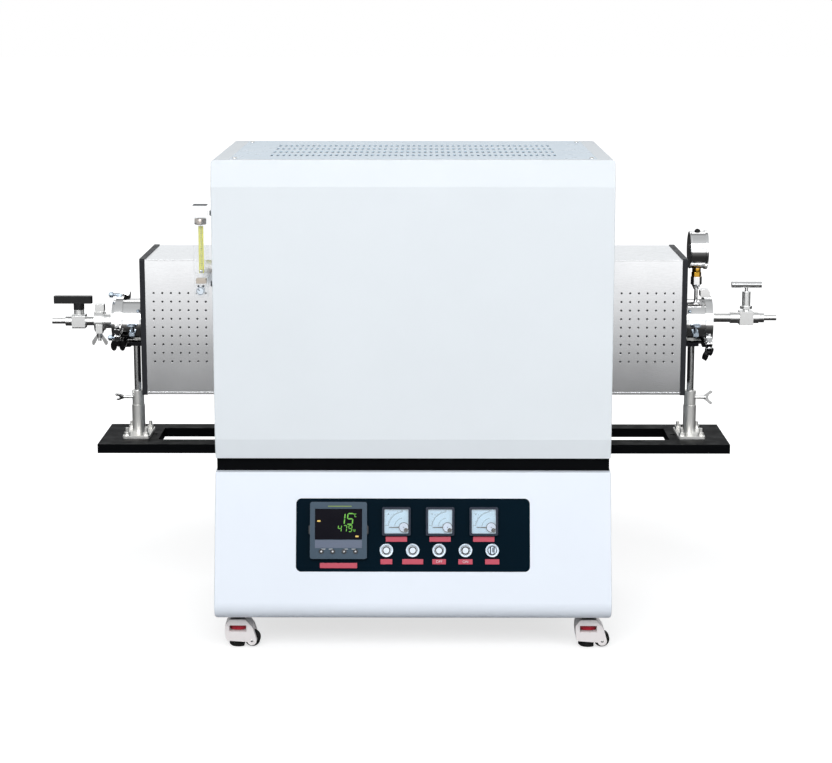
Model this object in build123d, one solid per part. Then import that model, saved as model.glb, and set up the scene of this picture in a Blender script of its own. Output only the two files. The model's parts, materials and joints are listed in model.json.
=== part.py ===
from build123d import *

import os
from math import cos, radians, sin, tan

# Laboratory tube furnace on levelling casters. Millimetres, +X right, +Y to the rear, +Z up,
# origin on the floor under the middle of the cabinet.

# ---- Driving dimensions ----------------------------------------------------------------------
# Cabinet
cabinet_width = 670.0
cabinet_depth = 450.0
sheet = 1.5
corner_radius = 2.0
front_return = 15.0
caster_height = 60.0
base_height = 243.0
plinth_height = 22.5
plinth_setback = 14.0
plinth_side_inset = 2.0
plinth_wall = 20.0
upper_height = 504.5
low_bevel_height = 34.0
low_bevel_in = 7.0
top_bevel_height = 44.0
top_bevel_in = 10.0
base_lean_deg = 16.0
roll_radius = 24.0
base_corner_radius = 10.0
upper_corner_radius = 6.0

# Base frame
pan_thickness = 3.0
frame_tube = 25.0

# Top cover
cover_inset = 29.0
cover_thickness = 2.0
vent_rows = 4
vent_columns = 49
vent_pitch = 10.0
vent_row_pitch = 72.0
vent_slot_width = 4.5
vent_slot_length = 34.0
vent_first_row = 111.0

# Rear louvres
louvre_count = 9
louvre_length = 150.0
louvre_height = 6.0
louvre_pitch = 18.0
gland_radius = 11.0
gland_length = 18.0
gland_rise = 60.0
gland_bore_radius = 7.2
base_louvre_rise = 60.0
upper_louvre_rise = 300.0

# Process tube
tube_length = 1000.0
tube_outer_radius = 30.0
tube_wall = 4.0
tube_setback = 235.0
tube_height = 199.5
tube_hole_radius = 36.0

# Hot zone
chamber_half_length = 150.0
chamber_half_depth = 85.0
chamber_up = 110.0
chamber_down = 80.0
insulation_wall = 90.0
insulation_front_gap = 60.0
insulation_rear_gap = 40.0
insulation_end_gap = 10.0
plug_clearance = 0.4
element_count = 3
element_pitch = 90.0
element_offset = 58.0
element_leg_radius = 3.0
element_neck_radius = 6.0
element_leg_gap = 50.0
element_roof_gap = 20.0
element_floor_gap = 20.0
element_head = 25.0
probe_radius = 4.0
probe_tube_gap = 4.0
probe_rear_gap = 30.0

# Power supply on the floor pan
core_width = 200.0
core_depth = 120.0
core_height = 150.0
core_setback = 200.0
core_yoke = 30.0
coil_half_width = 57.0
coil_proud = 25.0
coil_gap = 2.0
limb_half_width = 25.0
core_window = 54.0
contactor_size = (70.0, 90.0, 90.0)
contactor_gap = 80.0

# Support rails
rail_past_end = 57.0
rail_front = 147.0
rail_depth = 178.0
rail_height = 16.0
rail_sheet = 2.5
slot_front = 42.0
slot_depth = 98.0
slot_from_end = 45.0
bolt_slot_length = 14.0
bolt_slot_width = 6.0

# Tube shields
shield_flange_gap = 10.0
shield_rise = 5.5
vent_hole_radius = 1.75
vent_hole_pitch = 15.0
vent_hole_rows = 9
vent_hole_columns = 7
vent_hole_from_end = 14.5
shield_depth = 213.0
shield_height = 236.0
shield_sheet = 1.5
shield_tray = 4.0
shield_tray_lip = 1.5
shield_end_length = 9.0
shield_end_wall = 2.5
shield_end_proud = 1.5
shield_end_hole_radius = 43.0
shield_end_corner = 3.0

# Tube flanges and clamps
flange_hold = 26.0
flange_radius = 40.0
flange_past_end = 17.5
rim_radius = 41.5
rim_width = 3.5
seal_width = 1.0
seal_radius = 38.5
cap_width = 3.0
port_plate_width = 7.0
port_plate_radius = 37.0
clamp_radius = 46.0
clamp_wall = 2.6
clamp_gap = 0.3
clamp_split = 5.0
clamp_ear = 8.0
clamp_ear_width = 10.0
clamp_ear_rise = 18.0
clamp_bolt_rise = 11.0
clamp_link_width = 16.5
clamp_link_height = 16.0
clamp_link_length = 22.0
clamp_link_shift = 4.8
clamp_link_angles = (115.0, -130.0)
right_clamp_turn = 40.0
left_clamp_turn = 15.0
right_knob_spin = 40.0
knob_hub_radius = 6.5
knob_hub_height = 8.0
knob_thickness = 7.0
nut_hub_radius = 5.0
nut_hub_height = 7.0

# Gas fittings
stub_radius = 13.0
stub_length = 15.5
small_clamp_radius = 19.0
small_clamp_width = 18.0
small_bolt_y = -12.0
small_lug_low = -20.0
small_lug_height = 16.0
left_pipe_radius = 8.0
left_pipe_length = 16.5
ball_valve_size = 24.0
valve_end_radius = 8.6
valve_end_length = 12.0
tip_radius = 5.0
left_tip_length = 24.0
right_tip_length = 22.0
right_port_rise = 7.0
right_pipe_radius = 8.0
right_pipe_length = 38.0
union_radius = 10.0
union_length = 16.0
needle_valve_size = 24.0
right_union_length = 10.0
bonnet_neck = 4.0
bonnet_collar = 5.0
bonnet_radius = 7.4
bonnet_length = 26.0

# Valve handles
lever_length = 68.0
lever_width = 14.0
lever_height = 13.0
t_bar_length = 53.0
t_bar_radius = 5.6
t_bar_rise = 59.3
lever_rise = 9.0
lever_shift = 10.0

# Pressure gauge
gauge_past_end = 1.3
gauge_radius = 32.5
gauge_depth = 26.5
gauge_socket_back = 14.3
gauge_bezel = 5.0
gauge_height = 128.5
gauge_socket = 15.0
gauge_hexagon = 14.0
gauge_cone = 9.0
gauge_stem_radius = 3.2
gauge_pointer_length = 22.0

# Posts
post_inset = 5.0
post_plate_width = 48.0
post_plate_depth = 84.0
post_plate_thickness = 5.0
stud_radius = 3.0
stud_height = 13.0
stud_spacing_x = 34.0
stud_spacing_y = 62.0
sleeve_radius = 11.5
sleeve_height = 76.0
collar_radius = 10.5
collar_height = 25.0
collar_groove = 1.2
post_rod_radius = 6.25
fit_clearance = 0.06
cradle_width = 22.0
cradle_depth = 40.0
cradle_height = 9.0
wing_screw_radius = 3.0
wing_screw_length = 22.0
left_wing_screw_turn = 55.0

# Control panel
panel_width = 395.0
panel_height = 123.5
panel_corner = 9.0
panel_centre_z = 201.0
panel_plate = 2.0
panel_margin = 8.0
controller_u = -125.6
controller_v = 7.6
controller_size = 96.0
controller_body = 91.6
controller_proud = 8.0
controller_length = 70.0
display_width = 80.0
display_height = 52.0
display_v = 10.4
key_radius = 4.0
key_pitch = 19.2
key_v = -35.5
key_depth = 4.0
key_proud = 1.0
key_travel = 0.8
meter_u = (-28.0, 45.8, 119.6)
meter_v = 23.0
meter_size = 48.0
meter_body = 44.0
meter_proud = 7.0
meter_length = 35.0
meter_window = 41.0
meter_recess = 4.5
pivot_u = 12.5
pivot_v = -10.0
needle_length = 25.0
button_u = (-44.8, -0.4, 44.1, 88.6, 133.7)
button_v = -25.9
bezel_radius = 11.5
bezel_proud = 4.0
barrel_radius = 10.9
barrel_length = 30.0
cap_radius = 7.3
cap_proud = 5.5
cap_bore_radius = 7.7
cap_bore_depth = 12.0
button_travel = 3.0

# Rotameter
rotameter_gap = 12.0
rotameter_width = 24.0
rotameter_depth = 22.0
rotameter_setback = 61.0
rotameter_bottom = 269.0
rotameter_low_block = 40.0
float_room = 7.8
rotameter_top_block = 22.0
rotameter_bore_radius = 3.5
float_radius = 3.1
float_travel = 80.0
dial_knob_radius = 7.0
dial_knob_length = 9.0
spigot_radius = 4.0
spigot_rise = 22.0
spigot_drop = 14.0
knob_rise = 12.0
knob_stem_radius = 2.0
knob_stem_length = 8.0

# Levelling casters
caster_inset_x = 36.0
caster_inset_front = 57.0
caster_inset_rear = 60.0
caster_plate_size = 50.0
caster_plate_thickness = 3.0
caster_neck_height = 6.0
caster_neck_radius = 15.0
yoke_depth = 40.0
yoke_left = 22.0
yoke_bottom = 13.5
arm_radius = 8.0
wheel_radius = 13.3
wheel_width = 16.0
wheel_offset = 24.0
wheel_gap = 0.8
axle_radius = 2.5
foot_radius = 16.0
foot_height = 11.0
foot_lift = 1.3
foot_stem_radius = 5.0
foot_travel = 10.0
foot_engaged = 0.5
thumbwheel_radius = 14.0
thumbwheel_height = 8.0
thumbwheel_z = 31.0

# ---- Derived levels and places ---------------------------------------------------------------
half_width = cabinet_width / 2
cover_half = half_width - cover_inset
base_z = caster_height
deck_z = base_z + base_height
upper_z = deck_z + plinth_height
top_z = upper_z + upper_height
lean = radians(base_lean_deg)

roll_z = base_z + roll_radius
roll_start_z = roll_z + roll_radius * sin(lean)
roll_back = (deck_z - roll_start_z) * tan(lean) - roll_radius * cos(lean)
nose_out = roll_back + roll_radius
face_y = -(cabinet_depth - nose_out) / 2
rear_y = face_y + cabinet_depth
roll_y = face_y - roll_back

axis_y = face_y + tube_setback
axis_z = upper_z + tube_height
tube_inner_radius = tube_outer_radius - tube_wall
tube_end = tube_length / 2
flange_start = tube_end - flange_hold
flange_end = tube_end + flange_past_end
shield_reach = flange_start - shield_flange_gap
shield_z = axis_z + shield_rise
slot_reach = tube_end - slot_from_end
rail_reach = tube_end + rail_past_end
post_x = tube_end - post_inset
gauge_x = tube_end + gauge_past_end

panel_y = face_y - (deck_z - panel_centre_z) * tan(lean)
panel_frame = Plane(
    origin=(0, panel_y, panel_centre_z),
    x_dir=(1, 0, 0),
    z_dir=(0, -cos(lean), sin(lean)),
)
plate_front = -sheet

os.makedirs("parts", exist_ok=True)


# ---- Helpers ---------------------------------------------------------------------------------
def save(node, *shapes):
    """Write the solids of one sub-part to its STEP file."""
    solids = [solid for shape in shapes for solid in shape.solids()]
    export_step(Compound(solids), f"parts/{node}.step")


def block(x, y, z):
    """A box from its (low, high) pairs along X, Y and Z."""
    corner = Pos(x[0], y[0], z[0])
    return corner * Box(x[1] - x[0], y[1] - y[0], z[1] - z[0], align=(Align.MIN,) * 3)


def bar(start, direction, length, radius):
    """A round bar from a start point along a direction."""
    return extrude(Plane(origin=start, z_dir=direction) * Circle(radius), amount=length)


def ring(start, direction, length, outer, inner):
    """A round tube from a start point along a direction."""
    section = Circle(outer) - Circle(inner)
    return extrude(Plane(origin=start, z_dir=direction) * section, amount=length)


def along_tube(x0, x1, outer, inner=0.0):
    """A turned piece on the process tube's axis, from x0 to x1."""
    start = (x0, axis_y, axis_z)
    if inner > 0:
        return ring(start, (1, 0, 0), x1 - x0, outer, inner)
    return bar(start, (1, 0, 0), x1 - x0, outer)


def both_ends(shape):
    """The shape on the right side and its mirror image on the left."""
    return [shape, mirror(shape, about=Plane.YZ)]


def across(face, half_length):
    """A (Y, Z) face pushed out to both sides of the middle plane."""
    return extrude(Plane.YZ * face, amount=half_length, both=True)


def on_panel(u, v, w=0.0):
    """The control panel's frame moved to a point of the panel."""
    return panel_frame * Pos(u, v, w)


def rounded_block(width, height, low, high, radius):
    """A box with rounded upright corners, from low to high along Z."""
    return Pos(0, 0, low) * extrude(RectangleRounded(width, height, radius), amount=high - low)


# ---- Cabinet ---------------------------------------------------------------------------------
def beyond_edges(z, radius, inset):
    """What lies beyond the rounded side edges at a cabinet's foot or top, drawn inset."""
    up = 1 if z > deck_z else -1
    middle = (half_width - radius, -cabinet_depth, z - up * radius)
    waste_z = sorted((middle[2], z + up))
    waste = block((middle[0], half_width + 1), (-cabinet_depth, cabinet_depth), waste_z)
    waste -= bar(middle, (0, 1, 0), 2 * cabinet_depth, radius - inset)
    return both_ends(waste)


def beyond_base(inset):
    return beyond_edges(base_z, base_corner_radius, inset)


def beyond_upper(inset):
    return beyond_edges(top_z, upper_corner_radius, inset)


def base_section(inset, back_y):
    """The base's leaning front with its roll, closed at back_y, all faces but the back inset."""
    radius = roll_radius - inset
    start = (roll_y - radius * cos(lean), roll_z + radius * sin(lean))
    middle = (roll_y - radius * cos(radians(37)), roll_z - radius * sin(radians(37)))
    end = (roll_y, roll_z - radius)
    top = deck_z - inset
    top_front = (start[0] + (top - start[1]) * tan(lean), top)
    edges = [
        Line(end, (back_y, end[1])),
        Line((back_y, end[1]), (back_y, top)),
        Line((back_y, top), top_front),
        Line(top_front, start),
        ThreePointArc(start, middle, end),
    ]
    return make_face(Curve() + edges)


def upper_section(back_y):
    """The upper cabinet's front outline with a bevel at its foot and at its top."""
    points = [
        (back_y, upper_z),
        (face_y + low_bevel_in, upper_z),
        (face_y, upper_z + low_bevel_height),
        (face_y, top_z - top_bevel_height),
        (face_y + top_bevel_in, top_z),
        (back_y, top_z),
    ]
    return make_face(Polyline(*points, close=True))


def rounded_ends(panel, back_y):
    """The panel with its end edges rounded, apart from those at its open back."""
    edges = panel.edges().filter_by(lambda edge: abs(abs(edge.center().X) - half_width) < 0.01)
    edges = edges.filter_by(lambda edge: edge.center().Y < back_y - 0.01)
    return fillet(edges, corner_radius)


def base_front_panel():
    back_y = face_y + front_return
    outer = rounded_ends(across(base_section(0, back_y), half_width), back_y) - beyond_base(0)
    inner = across(base_section(sheet, back_y), half_width - sheet) - beyond_base(sheet)
    window = RectangleRounded(panel_width, panel_height, panel_corner)
    hole = extrude(panel_frame * window, amount=roll_radius / 2, both=True)
    return outer - inner - hole


def upper_front_panel():
    back_y = face_y + top_bevel_in + front_return
    section = upper_section(back_y)
    outer = rounded_ends(across(section, half_width), back_y) - beyond_upper(0)
    inner = across(offset(section, -sheet, kind=Kind.INTERSECTION), half_width - sheet)
    inner = inner - beyond_upper(sheet)
    keep = back_y - sheet
    rest = block((-half_width, half_width), (keep, back_y), (upper_z, top_z))
    return outer - inner - rest


def louvres(centre_x, low_z, count):
    """Slots of one louvre field in the rear face."""
    slots = []
    for row in range(count):
        z = low_z + row * louvre_pitch
        x = (centre_x - louvre_length / 2, centre_x + louvre_length / 2)
        slots.append(block(x, (rear_y - 2 * sheet, rear_y), (z, z + louvre_height)))
    return slots


def base_panels():
    front_y = face_y + front_return
    side_x = (half_width - base_corner_radius, half_width)
    inside = half_width - sheet
    hollow = block((0, inside), (front_y, rear_y), (base_z + sheet, deck_z)) - beyond_base(sheet)
    side = block(side_x, (front_y, rear_y), (base_z, deck_z)) - beyond_base(0) - hollow
    rear = block((-inside, inside), (rear_y - sheet, rear_y), (base_z, deck_z))
    rear = rear - beyond_base(sheet)
    for x in (-inside / 2, inside / 2):
        for slot in louvres(x, base_z + base_louvre_rise, louvre_count):
            rear -= slot
    gland_z = base_z + gland_rise
    rear -= bar((0, rear_y - sheet, gland_z), (0, 1, 0), sheet, gland_radius)
    gland = ring((0, rear_y - gland_length, gland_z), (0, 1, 0), gland_length, gland_radius,
                 gland_bore_radius)
    return both_ends(side) + [rear, gland]


def upper_panels():
    front_y = face_y + top_bevel_in + front_return - sheet
    inside = half_width - sheet
    side = block((cover_half, half_width), (front_y, rear_y), (upper_z, top_z))
    hollow = block((0, inside), (front_y, rear_y), (upper_z, top_z - sheet)) - beyond_upper(sheet)
    side = side - beyond_upper(0) - hollow
    side -= along_tube(inside, half_width, tube_hole_radius)
    rear = block((-inside, inside), (rear_y - sheet, rear_y), (upper_z, top_z - sheet))
    rear = rear - beyond_upper(sheet)
    for x in (-inside / 2, inside / 2):
        for slot in louvres(x, upper_z + upper_louvre_rise, louvre_count):
            rear -= slot
    return both_ends(side) + [rear]


def top_cover():
    front_y = face_y + top_bevel_in + front_return - sheet
    cover = block((-cover_half, cover_half), (front_y, rear_y - sheet), (top_z - cover_thickness, top_z))
    first_x = -vent_pitch * (vent_columns - 1) / 2
    slots = []
    for row in range(vent_rows):
        y = face_y + vent_first_row + row * vent_row_pitch
        for column in range(vent_columns):
            slots.append(Pos(first_x + column * vent_pitch, y, top_z)
                         * Box(vent_slot_width, vent_slot_length, 4 * cover_thickness))
    return cover - slots


def base_frame():
    inside = half_width - sheet
    pan_y = (face_y + front_return, rear_y - sheet)
    pan_half = half_width - base_corner_radius
    pan = block((-pan_half, pan_half), pan_y, (base_z, base_z + pan_thickness))
    low = base_z + pan_thickness
    high = deck_z - sheet
    beam_y = (roll_y + pan_thickness, face_y + front_return)
    front_beam = block((-inside, inside), beam_y, (base_z + sheet, base_z + sheet + frame_tube))
    pieces = [pan, front_beam - beyond_base(sheet)]
    post_ys = (pan_y[0], pan_y[1] - frame_tube)
    rail_z = (high - frame_tube, high)
    for y in post_ys:
        post = block((inside - frame_tube, inside), (y, y + frame_tube), (low, rail_z[0]))
        pieces += both_ends(post - beyond_base(sheet))
        pieces.append(block((-inside, inside), (y, y + frame_tube), rail_z))
    side_y = (post_ys[0] + frame_tube, post_ys[1])
    pieces += both_ends(block((inside - frame_tube, inside), side_y, rail_z))
    return pieces


def deck_plinth():
    front = face_y + plinth_setback
    back = rear_y - plinth_side_inset
    side = half_width - plinth_side_inset
    z = (deck_z, upper_z)
    pieces = [
        block((-side, side), (front, front + plinth_wall), z),
        block((-side, side), (back - plinth_wall, back), z),
    ]
    side_y = (front + plinth_wall, back - plinth_wall)
    pieces += both_ends(block((side - plinth_wall, side), side_y, z))
    middle = side - plinth_wall
    pieces.append(block((-middle, middle), side_y, (deck_z, deck_z + pan_thickness)))
    return pieces


# ---- Rails, posts and shields ----------------------------------------------------------------
def support_rail():
    """The right rail: a folded tray with a slot, its skirts turned down."""
    x0 = half_width - plinth_side_inset
    y0 = face_y + rail_front
    z = (deck_z, deck_z + rail_height)
    top_z0 = z[1] - rail_sheet
    slot_x = (half_width, slot_reach)
    slot_y = (y0 + slot_front, y0 + slot_front + slot_depth)
    tray = block((x0, rail_reach), (y0, y0 + rail_depth), z)
    wall = rail_sheet
    inner_y = (y0 + wall, y0 + rail_depth - wall)
    hollow = block((x0 + wall, rail_reach - wall), inner_y, (z[0], top_z0))
    rim_x = (slot_x[0] - wall, slot_x[1] + wall)
    rim_y = (slot_y[0] - wall, slot_y[1] + wall)
    hollow -= block(rim_x, rim_y, z)
    tray = tray - hollow - block(slot_x, slot_y, z)
    bolt_slot = SlotOverall(bolt_slot_length, bolt_slot_width)
    bolt_slot = Pos(post_x - (post_plate_width + bolt_slot_width) / 2, axis_y, z[1]) * bolt_slot
    return tray - extrude(bolt_slot, amount=2 * rail_sheet, both=True)


def post_sleeve():
    """The right post's fixed part: base plate, studs, sleeve and collar."""
    floor = deck_z + rail_height
    seat = floor + post_plate_thickness
    plate = Pos(post_x, axis_y, floor) * extrude(
        RectangleRounded(post_plate_width, post_plate_depth, 4), amount=post_plate_thickness
    )
    collar_z = seat + sleeve_height - collar_height
    lower = sleeve_height - collar_height - collar_groove
    shape = plate + bar((post_x, axis_y, seat), (0, 0, 1), lower, sleeve_radius)
    shape += bar((post_x, axis_y, seat), (0, 0, 1), sleeve_height, collar_radius - collar_groove)
    shape += bar((post_x, axis_y, collar_z), (0, 0, 1), collar_height, collar_radius)
    for x in (-stud_spacing_x / 2, stud_spacing_x / 2):
        for y in (-stud_spacing_y / 2, stud_spacing_y / 2):
            at = (post_x + x, axis_y + y, seat)
            shape += bar(at, (0, 0, 1), stud_height, stud_radius)
            shape += extrude(Plane(at) * RegularPolygon(5.5, 6), amount=5)
    bore = post_rod_radius + fit_clearance
    shape -= bar((post_x, axis_y, floor), (0, 0, 1), 2 * sleeve_height, bore)
    screw_z = collar_z + collar_height / 2
    shape -= bar((post_x, axis_y, screw_z), (1, 0, 0), 2 * sleeve_radius, wing_screw_radius + fit_clearance)
    return shape


def post_rod():
    """The right post's sliding rod with the saddle that carries the flange."""
    floor = deck_z + rail_height
    saddle_top = axis_z - flange_radius * 0.82
    saddle_z = saddle_top - cradle_height
    rod_low = floor + 32
    shape = bar((post_x, axis_y, rod_low), (0, 0, 1), saddle_z - rod_low, post_rod_radius)
    saddle = Pos(post_x, axis_y, saddle_z + cradle_height / 2) * Box(
        cradle_width, cradle_depth, cradle_height
    )
    hollow = along_tube(flange_start - 10, flange_end + 10, flange_radius + clamp_gap)
    return shape + saddle - hollow


def wing_screw(turn):
    """The right post's wing screw, its wings spread outward, turned about its own length."""
    seat = deck_z + rail_height + post_plate_thickness
    z = seat + sleeve_height - collar_height / 2
    screw = bar((0, 0, 0), (0, 0, 1), wing_screw_length, wing_screw_radius)
    outline = make_face(Polyline((0, -2), (4, -3), (9, 4), (13, 8), (11, 12), (8, 11), (5, 6),
                                 (0, 4), close=True))
    wing = extrude(Plane.XZ * outline, amount=1.5, both=True)
    screw += Pos(0, 0, wing_screw_length) * (wing + mirror(wing, about=Plane.YZ))
    place = Plane(
        origin=(post_x + post_rod_radius + 0.2, axis_y, z), x_dir=(0, 0, 1), z_dir=(1, 0, 0)
    )
    return place * (Rot(0, 0, turn) * screw)


def tube_shield():
    """The right shield: front, rear and top sheets and a bottom tray, as separate sheets."""
    x = (half_width, shield_reach)
    y = (axis_y - shield_depth / 2, axis_y + shield_depth / 2)
    z = (shield_z - shield_height / 2, shield_z + shield_height / 2)
    wall = shield_sheet
    front = block(x, (y[0], y[0] + wall), (z[0] + shield_tray, z[1] - wall))
    rear = block(x, (y[1] - wall, y[1]), (z[0] + shield_tray, z[1] - wall))
    holes = vent_holes()
    top = block(x, y, (z[1] - wall, z[1]))
    tray_y = (y[0] - shield_tray_lip, y[1] + shield_tray_lip)
    tray = block(x, tray_y, (z[0], z[0] + shield_tray))
    return [front - holes, rear - holes, top, tray]


def vent_holes():
    """Bars through both upright sheets of the right shield, one for each pair of holes."""
    holes = []
    start_y = axis_y + shield_depth
    for row in range(vent_hole_rows):
        z = shield_z + (row - (vent_hole_rows - 1) / 2) * vent_hole_pitch
        for column in range(vent_hole_columns):
            x = shield_reach - vent_hole_from_end - column * vent_hole_pitch
            holes.append(bar((x, start_y, z), (0, -1, 0), 2 * shield_depth, vent_hole_radius))
    return holes


def shield_end():
    """The right shield's black end cover with the hole for the tube flange."""
    half_y = shield_depth / 2 + shield_end_proud
    half_z = shield_height / 2 + shield_end_proud
    x = (shield_reach, shield_reach + shield_end_length)
    cover = block(x, (axis_y - half_y, axis_y + half_y), (shield_z - half_z, shield_z + half_z))
    cover = fillet(cover.edges().filter_by(Axis.X), shield_end_corner)
    half_y -= shield_end_wall
    half_z -= shield_end_wall
    inner_x = (x[0], x[1] - shield_end_wall)
    inner = block(inner_x, (axis_y - half_y, axis_y + half_y),
                  (shield_z - half_z, shield_z + half_z))
    return cover - inner - along_tube(x[0], x[1], shield_end_hole_radius)


# ---- Hot zone --------------------------------------------------------------------------------
def insulation_blocks():
    """Fibre boards around the chamber and a split plug at each tube hole."""
    wall = insulation_wall
    x_in = chamber_half_length
    x_out = half_width - sheet - insulation_end_gap
    y_in = (axis_y - chamber_half_depth, axis_y + chamber_half_depth)
    y_out = (face_y + insulation_front_gap, rear_y - insulation_rear_gap)
    z_in = (axis_z - chamber_down, axis_z + chamber_up)
    z_out = (z_in[0] - wall, z_in[1] + wall)
    floor = block((-x_out, x_out), y_out, (z_out[0], z_in[0]))
    roof = block((-x_out, x_out), y_out, (z_in[1], z_out[1]))
    for x, y in element_legs():
        roof -= bar((x, y, z_in[1]), (0, 0, 1), wall, element_neck_radius + 0.5)
    front = block((-x_out, x_out), (y_out[0], y_in[0]), z_in)
    rear = block((-x_out, x_out), (y_in[1], y_out[1]), z_in)
    probe_hole = bar((0, y_in[1], axis_z), (0, 1, 0), cabinet_depth, probe_radius + 0.3)
    end = block((x_in, x_out), y_in, z_in)
    end -= along_tube(x_in, x_out, tube_outer_radius + plug_clearance)
    plug = along_tube(x_out, half_width, tube_hole_radius - plug_clearance,
                      tube_outer_radius + plug_clearance)
    return [floor, roof, front, rear - probe_hole] + both_ends(end) + both_ends(plug)


def element_legs():
    """The (x, y) places of the elements' legs, in pairs."""
    places = []
    for index in range(element_count):
        middle = (index - (element_count - 1) / 2) * element_pitch
        for side in (-element_offset, element_offset):
            for leg in (-element_leg_gap / 2, element_leg_gap / 2):
                places.append((middle + leg, axis_y + side))
    return places


def heating_elements():
    """Hairpin elements hanging through the roof on both sides of the tube."""
    neck_z = axis_z + chamber_up - element_roof_gap
    top = axis_z + chamber_up + insulation_wall + element_head
    bend = element_leg_gap / 2
    bend_z = axis_z - chamber_down + element_floor_gap + bend
    elements = []
    legs = element_legs()
    for left, right in zip(legs[::2], legs[1::2]):
        path = Plane.XZ.offset(-left[1]) * (
            Line((left[0], neck_z), (left[0], bend_z))
            + ThreePointArc((left[0], bend_z), (left[0] + bend, bend_z - bend),
                            (right[0], bend_z))
            + Line((right[0], bend_z), (right[0], neck_z))
        )
        start = Plane(origin=(left[0], left[1], neck_z), z_dir=(0, 0, -1))
        element = sweep(start * Circle(element_leg_radius), path=path)
        for x, y in (left, right):
            element += bar((x, y, neck_z), (0, 0, 1), top - neck_z, element_neck_radius)
        elements.append(element)
    y0 = axis_y + tube_outer_radius + probe_tube_gap
    probe = bar((0, y0, axis_z), (0, 1, 0), rear_y - probe_rear_gap - y0, probe_radius)
    return elements + [probe]


def process_tube():
    half = tube_length / 2
    return along_tube(-half, half, tube_outer_radius, tube_inner_radius)


def power_supply():
    """The transformer (core and two coils) and the contactor on the floor pan."""
    low = base_z + pan_thickness
    y = (face_y + core_setback, face_y + core_setback + core_depth)
    core = block((-core_width / 2, core_width / 2), y, (low, low + core_height))
    window_z = (low + core_yoke, low + core_height - core_yoke)
    for side in (-1, 1):
        middle = side * (limb_half_width + core_window / 2)
        x = (middle - core_window / 2, middle + core_window / 2)
        core -= block(x, y, window_z)
    coil_y = (y[0] - coil_proud, y[1] + coil_proud)
    coil_z = (window_z[0], window_z[1] - coil_gap)
    coil = block((-coil_half_width, coil_half_width), coil_y, coil_z)
    limb = limb_half_width + coil_gap / 2
    limb_y = (y[0] - coil_gap / 2, y[1] + coil_gap / 2)
    coil -= block((-limb, limb), limb_y, (low, low + core_height))
    side_x = core_width / 2 + contactor_gap
    contactor_x = (side_x, side_x + contactor_size[0])
    contactor_y = (y[0], y[0] + contactor_size[1])
    contactor = block(contactor_x, contactor_y, (low, low + contactor_size[2]))
    return [core, coil, contactor]


# ---- Flanges, clamps and fittings ------------------------------------------------------------
rim_start = flange_end
seal_start = rim_start + rim_width
cap_start = seal_start + seal_width
cap_end = cap_start + cap_width
clamp_middle = (rim_start + cap_end) / 2
clamp_end = cap_end + clamp_wall + clamp_gap
port_end = clamp_end + port_plate_width
small_clamp_x = port_end + stub_length + small_clamp_width / 2
right_axis_z = axis_z + right_port_rise


def tube_flange():
    """The right flange: a cylinder over the tube's end with a rim for the clamp."""
    shape = along_tube(flange_start, flange_end, flange_radius)
    shape += along_tube(rim_start, seal_start, rim_radius)
    shape -= along_tube(flange_start, tube_end + 0.5, tube_outer_radius + clamp_gap)
    groove = flange_start + 8
    shape -= along_tube(groove, groove + 2, flange_radius + 1, flange_radius - 2)
    return shape - along_tube(tube_end + 0.5, seal_start, tube_inner_radius)


def end_cap():
    """The right blank cap and the seal between it and the flange."""
    cap = along_tube(cap_start, cap_end, rim_radius)
    seal = along_tube(seal_start, cap_start, seal_radius, seal_radius - 5)
    return [cap, seal]


def port_plate():
    """The plate on the left cap that carries the small clamp's stub, drawn on the right side."""
    return along_tube(cap_end, port_end, port_plate_radius)


def clamp_frame(turn):
    """The right clamp's frame: X out through its split, Y along its bolt, Z along the tube."""
    angle = radians(turn)
    return Plane(
        origin=(clamp_middle, axis_y, axis_z),
        x_dir=(0, -cos(angle), -sin(angle)),
        z_dir=(1, 0, 0),
    )


def clamp_segments(turn):
    """The right flange clamp: three segments over both rims, two links and the bolt."""
    frame = clamp_frame(turn)
    lip = rim_radius - 3
    x0 = rim_start - clamp_wall - clamp_gap
    shape = along_tube(x0, clamp_end, clamp_radius, flange_radius + clamp_gap)
    shape -= along_tube(rim_start - clamp_gap, cap_end + clamp_gap, rim_radius + clamp_gap)
    shape += along_tube(cap_end + clamp_gap, clamp_end, flange_radius + 1, lip)
    ear_x = clamp_radius + clamp_ear_rise / 2 - 2
    ear_start = -clamp_split / 2 - clamp_ear
    for side in (-1, 1):
        ear = Pos(ear_x, side * (clamp_split + clamp_ear) / 2) * Box(clamp_ear_rise, clamp_ear,
                                                                   clamp_ear_width)
        shape += frame * ear - along_tube(x0, clamp_end, clamp_radius - 1)
    for angle in (0, *clamp_link_angles):
        slot = Rot(0, 0, angle) * (Pos(clamp_radius) * Box(20, clamp_split, 40))
        shape -= frame * slot
    bolt_x = clamp_radius + clamp_bolt_rise
    place = frame * Pos(bolt_x, ear_start, 0) * Rot(-90, 0, 0)
    length = 2 * clamp_ear + clamp_split + knob_hub_height + 3
    shape -= place * Cylinder(wing_screw_radius, length, align=(Align.CENTER, Align.CENTER, Align.MIN))
    bolt = Cylinder(wing_screw_radius, length, align=(Align.CENTER, Align.CENTER, Align.MIN))
    bolt += extrude(RegularPolygon(5, 6), amount=-4)
    links = []
    for angle in clamp_link_angles:
        outline = Pos(clamp_radius + clamp_link_height / 2 - 3, -clamp_link_shift)
        outline = outline * RectangleRounded(clamp_link_height, clamp_link_width, 5)
        link = extrude(Plane.XZ * outline, amount=clamp_link_length / 2, both=True)
        link = frame * (Rot(0, 0, angle) * link)
        links.append(link - along_tube(flange_start, clamp_end + 20, clamp_radius))
    return [shape, place * bolt] + links


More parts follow.
